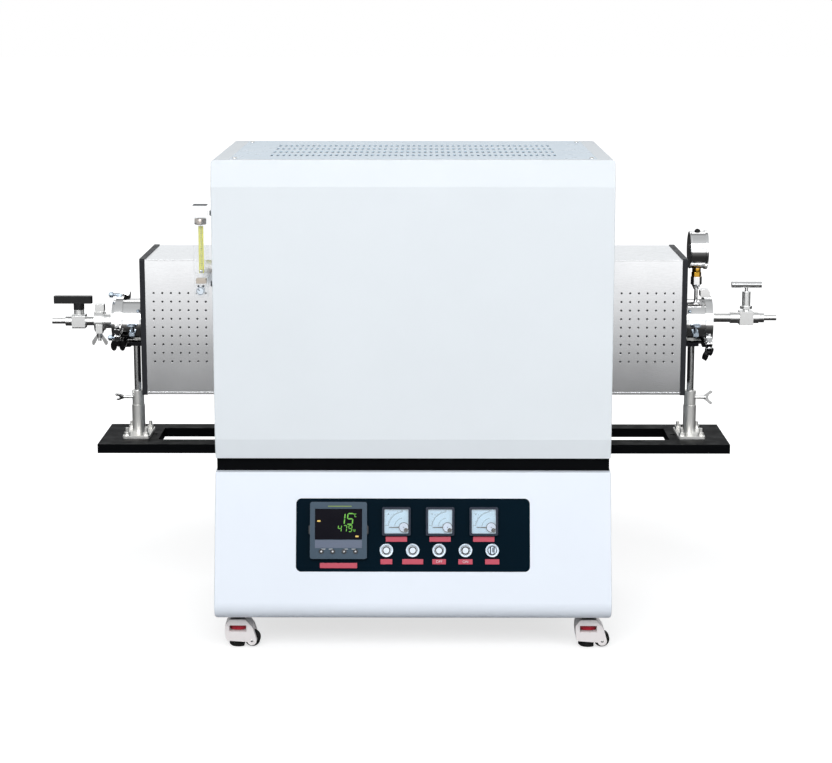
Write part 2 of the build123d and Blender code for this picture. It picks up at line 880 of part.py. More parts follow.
def lobed_knob(bore):
    """A black two-lobed nut on the Z axis, its hub at the origin and its lobes pointing up."""
    shape = bar((0, 0, 0), (0, 0, 1), knob_hub_height, knob_hub_radius)
    lobe = Pos(7.5, 10.5) * Ellipse(5.5, 9.5)
    lobe = extrude(Plane.XZ * lobe, amount=knob_thickness / 2, both=True)
    shape += lobe + mirror(lobe, about=Plane.YZ)
    return shape - bar((0, 0, -1), (0, 0, 1), 30, bore)


def wing_nut(bore):
    """A wing nut on the Z axis, its hub at the origin and its wings pointing up and out."""
    shape = bar((0, 0, 0), (0, 0, 1), nut_hub_height, nut_hub_radius)
    outline = make_face(Polyline((2, 3), (nut_hub_radius, 1), (14, 14), (13.5, 20), (10.5, 21.5),
                                 (7.5, 17), (3, 8), close=True))
    wing = extrude(Plane.XZ * outline, amount=1.3, both=True)
    shape += wing + mirror(wing, about=Plane.YZ)
    return shape - bar((0, 0, -1), (0, 0, 1), 30, bore)


def clamp_nut(turn, spin):
    """The lobed nut on the right clamp's bolt, below the ring."""
    start = Pos(clamp_radius + clamp_bolt_rise, clamp_split / 2 + clamp_ear + 0.3, 0)
    place = clamp_frame(turn) * start * Rot(-90, 0, 0) * Rot(0, 0, spin)
    return place * lobed_knob(wing_screw_radius + fit_clearance)


def small_clamp_nut():
    """The wing nut under the small clamp, drawn on the right side."""
    low = axis_z + small_lug_low - 0.3
    place = Plane(origin=(small_clamp_x, axis_y + small_bolt_y, low), x_dir=(1, 0, 0),
                  z_dir=(0, 0, -1))
    return place * wing_nut(wing_screw_radius + fit_clearance)


def ball_valve_train():
    """Left gas fittings, drawn on the right side and mirrored by the caller."""
    x = port_end
    stub = along_tube(x, x + stub_length, stub_radius)
    x += stub_length
    clamp = along_tube(x, x + small_clamp_width, small_clamp_radius)
    clamp -= along_tube(x, x + 3, small_clamp_radius, small_clamp_radius - 3)
    clamp += Pos(small_clamp_x, axis_y, axis_z + small_clamp_radius + 5) * Box(16, 16, 13)
    lug_z = (axis_z + small_lug_low, axis_z + small_lug_low + small_lug_height)
    lug_y = (axis_y + small_bolt_y - 7, axis_y + small_bolt_y + 7)
    clamp += block((small_clamp_x - 6, small_clamp_x + 6), lug_y, lug_z)
    bolt_top = (small_clamp_x, axis_y + small_bolt_y, lug_z[1])
    clamp += bar(bolt_top, (0, 0, -1), 30, wing_screw_radius)
    x += small_clamp_width
    pipe = along_tube(x, x + left_pipe_length, left_pipe_radius)
    x += left_pipe_length
    half = ball_valve_size / 2
    body = block((x, x + ball_valve_size), (axis_y - half, axis_y + half),
                 (axis_z - half, axis_z + half))
    body = chamfer(body.edges().filter_by(Axis.X), 2)
    middle = x + half
    body += bar((middle, axis_y, axis_z), (0, 0, 1), half + lever_rise - 0.3, 9)
    body += bar((middle, axis_y, axis_z), (0, 0, 1), half + lever_rise + 5, 4)
    x += ball_valve_size
    body += along_tube(x, x + valve_end_length, valve_end_radius)
    x += valve_end_length
    body += along_tube(x, x + left_tip_length, tip_radius)
    bore = along_tube(x, x + left_tip_length, tip_radius - 1)
    return stub + clamp + pipe + body - bore


def ball_valve_handle():
    """Black lever of the left valve, drawn on the right side."""
    half = ball_valve_size / 2
    middle = port_end + stub_length + small_clamp_width + left_pipe_length + half
    z = axis_z + half + lever_rise
    shape = bar((middle, axis_y, z), (0, 0, 1), 12, 9.5)
    lever = rounded_block(lever_length, lever_width, 0, lever_height, 3)
    shape += Pos(middle + lever_shift, axis_y, z + 11) * lever
    return shape - bar((middle, axis_y, z - 1), (0, 0, 1), 7, 4 + fit_clearance)


def along_right_port(x0, x1, radius):
    """A turned piece on the right port's axis, which lies above the tube's axis."""
    return bar((x0, axis_y, right_axis_z), (1, 0, 0), x1 - x0, radius)


needle_valve_start = cap_end + right_pipe_length + union_length
needle_valve_x = needle_valve_start + needle_valve_size / 2


def needle_valve_train():
    """Right gas fittings: pipe, union, needle valve body, bonnet, unions and tip tube."""
    x = cap_end + right_pipe_length
    shape = along_right_port(cap_end, x, right_pipe_radius)
    shape += along_right_port(x, x + union_length, union_radius)
    half = needle_valve_size / 2
    x = needle_valve_start
    shape += block((x, x + needle_valve_size), (axis_y - half, axis_y + half),
                   (right_axis_z - half, right_axis_z + half))
    z = right_axis_z + half
    shape += bar((needle_valve_x, axis_y, z), (0, 0, 1), bonnet_neck, bonnet_radius - 2)
    z += bonnet_neck
    shape += extrude(Plane((needle_valve_x, axis_y, z)) * RegularPolygon(11, 6),
                     amount=bonnet_collar)
    z += bonnet_collar
    shape += bar((needle_valve_x, axis_y, z), (0, 0, 1), bonnet_length, bonnet_radius)
    shape -= bar((needle_valve_x, axis_y, z), (0, 0, 1), bonnet_length, 3 + fit_clearance)
    x += needle_valve_size
    shape += along_right_port(x, x + right_union_length, union_radius)
    x += right_union_length
    shape += along_right_port(x, x + right_union_length, valve_end_radius)
    x += right_union_length
    shape += along_right_port(x, x + right_tip_length, tip_radius)
    return shape - along_right_port(x, x + right_tip_length, tip_radius - 1)


def needle_valve_handle():
    """Stem and T-bar of the right valve."""
    low = right_axis_z + needle_valve_size / 2 + bonnet_neck + bonnet_collar + 0.3
    bar_z = right_axis_z + t_bar_rise
    shape = bar((needle_valve_x, axis_y, low), (0, 0, 1), bar_z - low, 3)
    start = (needle_valve_x - t_bar_length / 2, axis_y, bar_z)
    return shape + bar(start, (1, 0, 0), t_bar_length, t_bar_radius)


# ---- Pressure gauge --------------------------------------------------------------------------
gauge_z = axis_z + gauge_height
gauge_back = gauge_x - gauge_socket_back
gauge_front = gauge_back + gauge_depth + gauge_bezel


def gauge_case():
    """Case open towards +X, with its stem, adaptor and socket down to the flange."""
    at = (gauge_back, axis_y, gauge_z)
    case = bar(at, (1, 0, 0), gauge_depth, gauge_radius)
    case += bar((gauge_back + gauge_depth, axis_y, gauge_z), (1, 0, 0), gauge_bezel,
                gauge_radius + 1.5)
    floor_x = gauge_front - 12
    case -= bar((floor_x, axis_y, gauge_z), (1, 0, 0), 12, gauge_radius - 4)
    case += bar((floor_x, axis_y, gauge_z), (1, 0, 0), 5, 1.5)
    case += bar((gauge_x, axis_y, gauge_z + gauge_radius - 1), (0, 0, 1), 4, 4)
    flange_top = axis_z + flange_radius
    socket_z = gauge_z - gauge_radius - gauge_socket
    hex_z = socket_z - gauge_hexagon
    cone_z = hex_z - gauge_cone
    socket = bar((gauge_x, axis_y, socket_z), (0, 0, 1), gauge_socket + 1, 7.5)
    stem = extrude(Plane((gauge_x, axis_y, hex_z)) * RegularPolygon(10, 6), amount=gauge_hexagon)
    cone = Cone(gauge_stem_radius + 1, 8.5, gauge_cone)
    stem += Pos(gauge_x, axis_y, hex_z - gauge_cone / 2) * cone
    stem += bar((gauge_x, axis_y, flange_top), (0, 0, 1), cone_z - flange_top, gauge_stem_radius)
    return [case, socket - bar(at, (1, 0, 0), gauge_depth, gauge_radius), stem]


def gauge_pointer():
    x = gauge_front - 12 + 1.5
    shape = ring((x, axis_y, gauge_z), (1, 0, 0), 1.2, 4, 1.5 + fit_clearance)
    blade = Polyline((3.4, -1.2), (gauge_pointer_length, -0.3), (gauge_pointer_length, 0.3),
                     (3.4, 1.2), close=True)
    face = Plane.YZ.offset(x) * (Rot(0, 0, 225) * make_face(blade))
    return shape + Pos(0, axis_y, gauge_z) * extrude(face, amount=1.2)


# ---- Control panel ---------------------------------------------------------------------------
def control_plate():
    low = plate_front - panel_plate
    plate = rounded_block(panel_width + 2 * panel_margin, panel_height + 2 * panel_margin, low,
                          plate_front, panel_corner)
    through = 2 * panel_plate
    plate -= Pos(controller_u, controller_v, low) * Box(controller_body + 0.4,
                                                        controller_body + 0.4, 2 * through)
    for u in meter_u:
        plate -= Pos(u, meter_v, low) * Box(meter_body + 0.4, meter_body + 0.4, 2 * through)
    for u in button_u:
        plate -= Pos(u, button_v, low) * Cylinder(barrel_radius + 0.2, 2 * through)
    return panel_frame * plate


def controller_case():
    front = plate_front + controller_proud
    shape = rounded_block(controller_size, controller_size, plate_front, front, 4)
    shape += rounded_block(controller_body, controller_body, plate_front - controller_length,
                           plate_front, 2)
    shape -= Pos(0, display_v, front) * Box(display_width, display_height, 3)
    for u in key_places():
        hole = Circle(key_radius + 0.25)
        shape -= Pos(u, key_v, front) * extrude(hole, amount=-(key_depth + key_travel + 0.2))
    return on_panel(controller_u, controller_v) * shape


def key_places():
    return [(index - 1.5) * key_pitch for index in range(4)]


def controller_key(u):
    front = plate_front + controller_proud
    key = Pos(0, 0, front - key_depth) * extrude(Circle(key_radius), amount=key_depth + key_proud)
    return on_panel(controller_u + u, controller_v + key_v) * key


def meter_case(u):
    front = plate_front + meter_proud
    shape = rounded_block(meter_size, meter_size, plate_front, front, 2.5)
    shape += rounded_block(meter_body, meter_body, plate_front - meter_length, plate_front, 2)
    floor = front - meter_recess
    shape -= rounded_block(meter_window, meter_window, floor, front, 1.5)
    shape += Pos(pivot_u, pivot_v, floor) * extrude(Circle(0.8), amount=3)
    return on_panel(u, meter_v) * shape


def meter_needle(u):
    low = plate_front + meter_proud - meter_recess + 1.2
    blade = Polyline((2.0, -0.8), (2.0, 0.8), (-needle_length, 0.3), (-needle_length, -0.3),
                     close=True)
    shape = make_face(blade) + Circle(3) - Circle(0.8 + fit_clearance)
    return on_panel(u + pivot_u, meter_v + pivot_v, low) * extrude(shape, amount=0.8)


def switch_bezel(u):
    front = plate_front + bezel_proud
    shape = Pos(0, 0, plate_front) * extrude(Circle(bezel_radius), amount=bezel_proud)
    shape += Pos(0, 0, plate_front - barrel_length) * extrude(Circle(barrel_radius),
                                                             amount=barrel_length)
    shape -= Pos(0, 0, front - cap_bore_depth) * extrude(Circle(cap_bore_radius),
                                                        amount=cap_bore_depth)
    return on_panel(u, button_v) * shape


def pilot_lens(u):
    front = plate_front + bezel_proud
    shape = Pos(0, 0, front - 8) * extrude(Circle(cap_bore_radius - 0.1), amount=9)
    return on_panel(u, button_v) * shape


def push_cap(u):
    low = plate_front + bezel_proud - cap_bore_depth + button_travel + 0.5
    high = plate_front + cap_proud
    shape = Pos(0, 0, low) * extrude(Circle(cap_radius), amount=high - low)
    return on_panel(u, button_v) * shape


def rotary_switch(u):
    front = plate_front + bezel_proud
    shape = Pos(0, 0, front - 8) * extrude(Circle(cap_radius), amount=9)
    grip = rounded_block(4.5, 13, 0, 6, 2)
    return on_panel(u, button_v) * (shape + Pos(0, 0, front + 1) * grip)


# ---- Rotameter -------------------------------------------------------------------------------
rotameter_x = -half_width - rotameter_gap - rotameter_width / 2
rotameter_y = face_y + rotameter_setback
rotameter_z = upper_z + rotameter_bottom
rotameter_tube = float_travel + 2 * float_radius + float_room
float_seat = rotameter_z + rotameter_low_block


def rotameter_body():
    """Acrylic body in three blocks, with the bore, the valve hole and two spigots."""
    half_x = rotameter_width / 2
    half_y = rotameter_depth / 2
    x = (rotameter_x - half_x, rotameter_x + half_x)
    y = (rotameter_y - half_y, rotameter_y + half_y)
    tube_top = float_seat + rotameter_tube
    low = block(x, y, (rotameter_z, float_seat))
    knob_z = rotameter_z + knob_rise
    low -= bar((rotameter_x, y[0], knob_z), (0, 1, 0), knob_stem_length + 1,
               knob_stem_radius + fit_clearance)
    middle = block(x, y, (float_seat, tube_top))
    middle -= bar((rotameter_x, rotameter_y, float_seat), (0, 0, 1), rotameter_tube,
                  rotameter_bore_radius)
    top = block(x, y, (tube_top, tube_top + rotameter_top_block))
    pieces = [low, middle, top]
    for z in (rotameter_z + spigot_rise, tube_top + rotameter_top_block - spigot_drop):
        pieces.append(bar((x[1], rotameter_y, z), (1, 0, 0), rotameter_gap, spigot_radius))
    return pieces


def rotameter_float():
    at = Pos(rotameter_x, rotameter_y, float_seat + float_radius + 0.2)
    return at * Sphere(float_radius)


def rotameter_knob():
    y0 = rotameter_y - rotameter_depth / 2
    z = rotameter_z + knob_rise
    knob = bar((rotameter_x, y0 - 0.4, z), (0, -1, 0), dial_knob_length, dial_knob_radius)
    return knob + bar((rotameter_x, y0 - 0.4, z), (0, 1, 0), knob_stem_length, knob_stem_radius)


# ---- Levelling casters -----------------------------------------------------------------------
caster_x = half_width - caster_inset_x
caster_front_y = -cabinet_depth / 2 - nose_out / 2 + caster_inset_front
caster_rear_y = rear_y - caster_inset_rear
casters = {
    "front_left": (-caster_x, caster_front_y),
    "front_right": (caster_x, caster_front_y),
    "rear_left": (-caster_x, caster_rear_y),
    "rear_right": (caster_x, caster_rear_y),
}


def caster_plate():
    plate = Pos(0, 0, base_z - caster_plate_thickness) * extrude(
        RectangleRounded(caster_plate_size, caster_plate_size, 4), amount=caster_plate_thickness
    )
    low = base_z - caster_plate_thickness - caster_neck_height
    return plate + bar((0, 0, low + 0.3), (0, 0, 1), caster_neck_height, caster_neck_radius)


def caster_yoke():
    """Swivelling housing with a window for the thumbwheel and two arms for the wheel."""
    top = base_z - caster_plate_thickness - caster_neck_height
    outline = Polyline(
        (-yoke_left + 4, yoke_bottom), (-yoke_left + 1.5, yoke_bottom + 4),
        (-yoke_left, yoke_bottom + 17), (-yoke_left + 0.5, yoke_bottom + 27),
        (-yoke_left + 7, top - 2), (-yoke_left + 9, top), (13, top), (25.5, 36), (28, 29),
        (wheel_offset + arm_radius, wheel_radius + 1), (wheel_offset, yoke_bottom - 3),
        close=True,
    )
    side = make_face(outline) + Pos(wheel_offset, wheel_radius) * Circle(arm_radius)
    shape = extrude(Plane.XZ * side, amount=yoke_depth / 2, both=True)
    axle = (wheel_offset, -yoke_depth / 2, wheel_radius)
    room = wheel_width / 2 + wheel_gap
    shape -= bar((wheel_offset, -room, wheel_radius), (0, 1, 0), 2 * room,
                 wheel_radius + wheel_gap)
    shape -= block((wheel_offset, wheel_offset + 3 * wheel_radius), (-room, room), (-1, top - 8))
    shape -= bar((0, 0, 0), (0, 0, 1), top - 2, foot_stem_radius + 0.4)
    window = block((-14.5, 14.5), (-yoke_depth, yoke_depth), (thumbwheel_z - 1.5,
                   thumbwheel_z + thumbwheel_height + 1.5))
    shape -= window & bar((0, 0, 0), (0, 0, 1), top, 40)
    pad_top = foot_lift + foot_height
    shape -= bar((0, 0, 0), (0, 0, 1), pad_top + 1, foot_radius + 0.5)
    shape += bar(axle, (0, 1, 0), yoke_depth, axle_radius)
    thumbwheel = ring((0, 0, thumbwheel_z), (0, 0, 1), thumbwheel_height, thumbwheel_radius,
                      foot_stem_radius + 0.4)
    return [shape, thumbwheel]


def caster_wheel():
    low = -wheel_width / 2
    wheel = ring((wheel_offset, low, wheel_radius), (0, 1, 0), wheel_width, wheel_radius,
                 axle_radius + fit_clearance)
    return chamfer(wheel.edges().filter_by(GeomType.CIRCLE).group_by(SortBy.RADIUS)[-1], 1.2)


def caster_foot():
    pad = bar((0, 0, foot_lift), (0, 0, 1), foot_height, foot_radius)
    pad = chamfer(pad.edges().group_by(Axis.Z)[0], 2.5)
    flat_x = wheel_offset - wheel_radius - wheel_gap
    pad -= block((flat_x, foot_radius), (-foot_radius, foot_radius), (0, 2 * foot_height))
    top = thumbwheel_z + thumbwheel_height + foot_travel - foot_engaged
    return pad + bar((0, 0, foot_lift), (0, 0, 1), top - foot_lift, foot_stem_radius)


# ---- Write every sub-part --------------------------------------------------------------------
save("base_frame", *base_frame())
save("base_front_panel", base_front_panel())
save("base_panels", *base_panels())
save("deck_and_rails", *deck_plinth(), *both_ends(support_rail()))
save("upper_front_panel", upper_front_panel())
save("upper_panels", *upper_panels())
save("top_cover", top_cover())
save("tube_shields", *[half for sheet_part in tube_shield() for half in both_ends(sheet_part)])
save("shield_ends", *both_ends(shield_end()))
save("process_tube", process_tube())
save("insulation_blocks", *insulation_blocks())
save("elements_and_probe", *heating_elements())
save("power_supply", *power_supply())
save("tube_flanges", *both_ends(tube_flange()))
left_cap = mirror(end_cap()[0] + port_plate(), about=Plane.YZ)
save("end_caps", end_cap()[0], left_cap, *both_ends(end_cap()[1]))
left_clamp = [mirror(piece, about=Plane.YZ) for piece in clamp_segments(left_clamp_turn)]
save("clamp_rings", *clamp_segments(right_clamp_turn), *left_clamp)
save("gas_fittings", mirror(ball_valve_train(), about=Plane.YZ), needle_valve_train())
save("ball_valve_handle", mirror(ball_valve_handle(), about=Plane.YZ))
save("needle_valve_handle", needle_valve_handle())
save("small_clamp_nut", mirror(small_clamp_nut(), about=Plane.YZ))
save("gauge_case", *gauge_case())
save("gauge_pointer", gauge_pointer())
save("post_sleeves", *both_ends(post_sleeve()))
for side_name, rod in zip(("right", "left"), both_ends(post_rod())):
    save(f"{side_name}_post_rod", rod)
save("right_wing_screw", wing_screw(0))
save("left_wing_screw", mirror(wing_screw(left_wing_screw_turn), about=Plane.YZ))
save("right_clamp_nut", clamp_nut(right_clamp_turn, right_knob_spin))
save("left_clamp_nut", mirror(clamp_nut(left_clamp_turn, 90), about=Plane.YZ))
save("control_plate", control_plate())
save("controller_case", controller_case())
for index, place in enumerate(key_places(), start=1):
    save(f"controller_key_{index}", controller_key(place))
save("meter_cases", *[meter_case(u) for u in meter_u])
for name, u in zip(("left", "middle", "right"), meter_u):
    save(f"{name}_meter_needle", meter_needle(u))
save("switch_bezels", *[switch_bezel(u) for u in button_u])
save("pilot_lenses", *[pilot_lens(u) for u in button_u[:2]])
save("off_button", push_cap(button_u[2]))
save("on_button", push_cap(button_u[3]))
save("rotary_switch", rotary_switch(button_u[4]))
save("rotameter_body", *rotameter_body())
save("rotameter_float", rotameter_float())
save("rotameter_knob", rotameter_knob())
save("caster_plates", *[Pos(x, y, 0) * caster_plate() for x, y in casters.values()])
for corner, (x, y) in casters.items():
    yoke, thumbwheel = caster_yoke()
    save(f"{corner}_caster_yoke", Pos(x, y, 0) * yoke, Pos(x, y, 0) * thumbwheel)
    save(f"{corner}_caster_wheel", Pos(x, y, 0) * caster_wheel())
    save(f"{corner}_caster_foot", Pos(x, y, 0) * caster_foot())
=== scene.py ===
import json
import math

import bmesh
import bpy
from mathutils import Matrix, Vector


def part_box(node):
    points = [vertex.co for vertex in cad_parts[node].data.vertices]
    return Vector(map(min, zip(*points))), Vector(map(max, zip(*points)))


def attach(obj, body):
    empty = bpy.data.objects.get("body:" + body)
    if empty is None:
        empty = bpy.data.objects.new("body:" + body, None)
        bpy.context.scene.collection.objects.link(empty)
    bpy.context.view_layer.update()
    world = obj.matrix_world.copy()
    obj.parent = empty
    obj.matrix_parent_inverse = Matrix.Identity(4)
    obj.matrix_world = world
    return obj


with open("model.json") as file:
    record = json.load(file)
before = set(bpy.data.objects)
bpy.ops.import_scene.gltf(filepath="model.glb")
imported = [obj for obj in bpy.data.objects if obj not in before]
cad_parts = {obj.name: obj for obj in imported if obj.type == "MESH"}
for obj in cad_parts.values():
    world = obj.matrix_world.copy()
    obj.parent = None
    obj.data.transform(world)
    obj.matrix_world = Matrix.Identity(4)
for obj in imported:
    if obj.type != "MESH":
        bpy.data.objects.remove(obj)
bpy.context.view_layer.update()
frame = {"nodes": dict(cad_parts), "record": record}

MM = 0.001
ROOT = "furnace"

# ---- Places that repeat the frame's sizes, in millimetres -------------------------------------
LEAN = math.radians(16)                              # the base panel's lean
FACE_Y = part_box("upper_front_panel")[0].y / MM       # the upper cabinet's face
PANEL_Z = 201.0                                      # the control panel's middle
DECK_Z = 303.0                                       # where the leaning panel meets the deck
TOP_Z = 830.0
AXIS_Y = FACE_Y + 235.0                              # the process tube's axis
AXIS_Z = 525.0
PLATE_FRONT = -1.5                                   # along the control panel's own normal
PANEL_Y = FACE_Y - (DECK_Z - PANEL_Z) * math.tan(LEAN)
PANEL = Matrix((
    (1, 0, 0, 0),
    (0, math.sin(LEAN), -math.cos(LEAN), PANEL_Y * MM),
    (0, math.cos(LEAN), math.sin(LEAN), PANEL_Z * MM),
    (0, 0, 0, 1),
))


# ---- Camera ----------------------------------------------------------------------------------
camera_data = bpy.data.cameras.new("camera")
camera_data.sensor_width = 36.0
camera_data.lens = 91.75
camera_data.clip_end = 60.0
camera = bpy.data.objects.new("camera", camera_data)
camera.location = (0.0229, -3.6958, 1.1126)
camera.rotation_euler = (math.radians(90 - 10.566), 0.0, math.radians(0.293))
bpy.context.scene.collection.objects.link(camera)
bpy.context.scene.camera = camera
bpy.context.scene.view_settings.view_transform = "Standard"


# ---- Material helpers ------------------------------------------------------------------------
def linear(r, g, b):
    """An 8-bit sRGB colour as linear RGBA."""
    def channel(value):
        value /= 255.0
        return value / 12.92 if value <= 0.04045 else ((value + 0.055) / 1.055) ** 2.4
    return (channel(r), channel(g), channel(b), 1.0)


def shaded(color, share):
    """A colour scaled by a share, no channel above 1, at full alpha."""
    return tuple(min(1.0, channel * share) for channel in color[:3]) + (1.0,)


class Nodes:
    """Short calls for a material's node tree."""

    def __init__(self, name):
        self.material = bpy.data.materials.new(name)
        self.material.use_nodes = True
        self.tree = self.material.node_tree
        self.tree.nodes.clear()
        self.output = self.tree.nodes.new("ShaderNodeOutputMaterial")
        self.coordinates = self.tree.nodes.new("ShaderNodeTexCoord").outputs["Object"]

    def add(self, kind, **inputs):
        node = self.tree.nodes.new(kind)
        for key, value in inputs.items():
            self.put(node.inputs[key.replace("_", " ")], value)
        return node

    def put(self, socket, value):
        if isinstance(value, bpy.types.NodeSocket):
            self.tree.links.new(value, socket)
        else:
            socket.default_value = value

    def stretch(self, scale):
        mapping = self.add("ShaderNodeMapping", Vector=self.coordinates)
        mapping.inputs["Scale"].default_value = scale
        return mapping.outputs["Vector"]

    def noise(self, scale, detail=3.0, stretch=None):
        vector = self.coordinates if stretch is None else self.stretch(stretch)
        node = self.add("ShaderNodeTexNoise", Vector=vector, Scale=scale, Detail=detail)
        return node.outputs["Fac"]

    def remap(self, value, low, high, from_low=0.3, from_high=0.7):
        node = self.add("ShaderNodeMapRange", Value=value)
        node.inputs["From Min"].default_value = from_low
        node.inputs["From Max"].default_value = from_high
        node.inputs["To Min"].default_value = low
        node.inputs["To Max"].default_value = high
        return node.outputs["Result"]

    def mix(self, factor, first, second):
        node = self.tree.nodes.new("ShaderNodeMix")
        node.data_type = "RGBA"
        self.put(node.inputs["Factor"], factor)
        self.put(node.inputs[6], first)
        self.put(node.inputs[7], second)
        return node.outputs[2]

    def math(self, operation, first, second=0.0):
        node = self.tree.nodes.new("ShaderNodeMath")
        node.operation = operation
        self.put(node.inputs[0], first)
        self.put(node.inputs[1], second)
        return node.outputs[0]

    def rounded_normal(self, radius):
        """The normal with every edge rounded, and how near an edge the point is."""
        bevel = self.tree.nodes.new("ShaderNodeBevel")
        bevel.samples = 4
        bevel.inputs["Radius"].default_value = radius
        geometry = self.tree.nodes.new("ShaderNodeNewGeometry")
        dot = self.tree.nodes.new("ShaderNodeVectorMath")
        dot.operation = "DOT_PRODUCT"
        self.tree.links.new(bevel.outputs["Normal"], dot.inputs[0])
        self.tree.links.new(geometry.outputs["Normal"], dot.inputs[1])
        edge = self.remap(dot.outputs["Value"], 1.0, 0.0, 0.80, 0.99)
        return bevel.outputs["Normal"], edge

    def bump(self, height, strength, distance, normal=None):
        node = self.add("ShaderNodeBump", Height=height, Strength=strength, Distance=distance)
        if normal is not None:
            self.put(node.inputs["Normal"], normal)
        return node.outputs["Normal"]

    def surface(self, **inputs):
        shader = self.tree.nodes.new("ShaderNodeBsdfPrincipled")
        for key, value in inputs.items():
            self.put(shader.inputs[key.replace("_", " ")], value)
        self.tree.links.new(shader.outputs[0], self.output.inputs["Surface"])
        return shader


def painted(name, color, rough, worn=None, texture=900.0, depth=0.00006, spread=0.06, coat=0.0,
            edge_radius=0.0008, specular=0.5):
    """Powder coat or moulded plastic: fine texture, faint patches, slightly worn edges."""
    n = Nodes(name)
    patches = n.noise(7.0, 4.0)
    tint = n.mix(n.remap(patches, 0.0, 1.0), color, shaded(color, 1 - spread))
    normal, edge = n.rounded_normal(edge_radius)
    if worn is not None:
        scratches = n.remap(n.noise(160.0, 5.0), 0.0, 1.0, 0.42, 0.62)
        tint = n.mix(n.math("MULTIPLY", edge, scratches), tint, worn)
    grain = n.noise(texture, 2.0)
    roughness = n.remap(n.noise(38.0, 5.0), rough * 0.85, min(1.0, rough * 1.2))
    shader = n.surface(Base_Color=tint, Roughness=roughness,
                       Normal=n.bump(grain, 0.5, depth, normal))
    shader.inputs["Coat Weight"].default_value = coat
    shader.inputs["Coat Roughness"].default_value = 0.12
    shader.inputs["Specular IOR Level"].default_value = specular
    return n.material


def metal(name, color, rough, stretch=(1.0, 1.0, 1.0), grain=420.0, depth=0.00002, spread=0.12,
          edge_radius=0.0006, smudge=0.25):
    """Bare metal: brushed or turned grain, smudges in the gloss, painted highlight on edges."""
    n = Nodes(name)
    lines = n.noise(grain, 3.0, stretch)
    patches = n.noise(11.0, 5.0)
    tint = n.mix(n.remap(lines, 0.0, 1.0), color, shaded(color, 1 - spread))
    normal, edge = n.rounded_normal(edge_radius)
    # Painted highlight: the colour is lighter near the rounded edges.
    tint = n.mix(n.math("MULTIPLY", edge, 0.6), tint, shaded(color, 1.12))
    roughness = n.math("ADD", n.remap(patches, 0.0, rough * smudge),
                       n.remap(lines, rough * 0.9, rough * 1.15))
    n.surface(Base_Color=tint, Metallic=1.0, Roughness=roughness,
              Normal=n.bump(lines, 0.35, depth, normal))
    return n.material


def glowing(name, color, strength):
    """A lit display segment, slightly uneven, black underneath."""
    n = Nodes(name)
    black = (0.0, 0.0, 0.0, 1.0)
    unevenness = n.remap(n.noise(900.0, 1.0), 0.85, 1.0)
    shade = n.mix(unevenness, black, color)
    shader = n.surface(Base_Color=black, Roughness=0.3, Emission_Color=shade)
    shader.inputs["Emission Strength"].default_value = strength
    return n.material


def clear(name, color, rough, ior, alpha):
    """Acrylic or glass with a faint haze, see-through by its alpha."""
    n = Nodes(name)
    haze = n.remap(n.noise(60.0, 4.0), rough, rough + 0.05)
    normal = n.bump(n.noise(240.0, 2.0), 0.15, 0.00002)
    shader = n.surface(Base_Color=color, Roughness=haze, Normal=normal)
    shader.inputs["Alpha"].default_value = alpha
    shader.inputs["IOR"].default_value = ior
    return n.material


def fibrous(name, color):
    """Matt ceramic fibre board with a fluffy surface."""
    n = Nodes(name)
    fluff = n.noise(700.0, 8.0, (1.0, 1.0, 3.0))
    tint = n.mix(n.remap(n.noise(25.0, 4.0), 0.0, 1.0), color, shaded(color, 0.86))
    n.surface(Base_Color=tint, Roughness=0.95, Normal=n.bump(fluff, 0.8, 0.0004))
    return n.material


WHITE = painted("white_powder_coat", linear(234, 240, 245), 0.38, linear(206, 208, 210), 700.0,
                0.00005, 0.02, specular=0.2)
BLACK = painted("black_powder_coat", linear(11, 12, 14), 0.44, linear(40, 42, 46), 1300.0,
                0.00012, 0.2, specular=0.02)
TRIM_BLACK = painted("black_trim", linear(42, 43, 47), 0.45, linear(84, 86, 90), 1300.0, 0.0001,
                     0.15, specular=0.15)
# Painted light: the leaning base panel's white is lighter and bluer than the white coat, for the
# light it catches while facing up.
BASE_WHITE_PAINTED_LIGHT = painted("base_white_with_painted_light", linear(238, 245, 255), 0.38, linear(206, 208, 210),
                     700.0, 0.00005, 0.02, specular=0.2)
# Painted shade and painted reflection: the top cover's white is darker and bluer than the white
# coat, for the grazing light and the bluish sky it reflects.
COVER_WHITE_SHADE_AND_SKY = painted("cover_white_with_painted_shade_and_sky", linear(207, 227, 243), 0.30, linear(196, 204, 210),
                      700.0, 0.00005, 0.04, coat=0.15)
FRAME_GREY = painted("grey_frame_paint", linear(150, 154, 160), 0.45, linear(110, 110, 112))
STAINLESS = metal("brushed_stainless", linear(240, 241, 243), 0.16, (1.0, 1.0, 30.0), 160.0,
                  0.00001, 0.08)
POLISHED = metal("polished_steel", linear(240, 240, 240), 0.09, (6.0, 1.0, 1.0), 380.0,
                 0.000006, 0.06)
SATIN = metal("satin_steel", linear(238, 237, 234), 0.34, (14.0, 14.0, 1.0), 300.0, 0.000008, 0.10)
FITTING = metal("fitting_steel", linear(244, 244, 243), 0.28, (1.0, 1.0, 1.0), 600.0, 0.000005,
                0.04)
TURNED = metal("turned_steel", linear(205, 205, 203), 0.22, (14.0, 1.0, 1.0), 380.0,
               0.00001, 0.12)
BRASS = metal("brass", linear(214, 166, 62), 0.18, (1.0, 1.0, 8.0), 300.0)
PANEL_DARK = painted("panel_blue_black", linear(2, 22, 34), 0.36, linear(30, 46, 58), 1100.0,
                     0.00003, 0.15, specular=0.02)
BLACK_PLASTIC = painted("black_plastic", linear(16, 16, 18), 0.42, linear(52, 52, 54), 900.0,
                        0.00008, 0.15, specular=0.35)
GREY_PLASTIC = painted("controller_grey", linear(68, 86, 102), 0.40, linear(112, 126, 138), 1500.0,
                       0.00005, 0.10, specular=0.2)
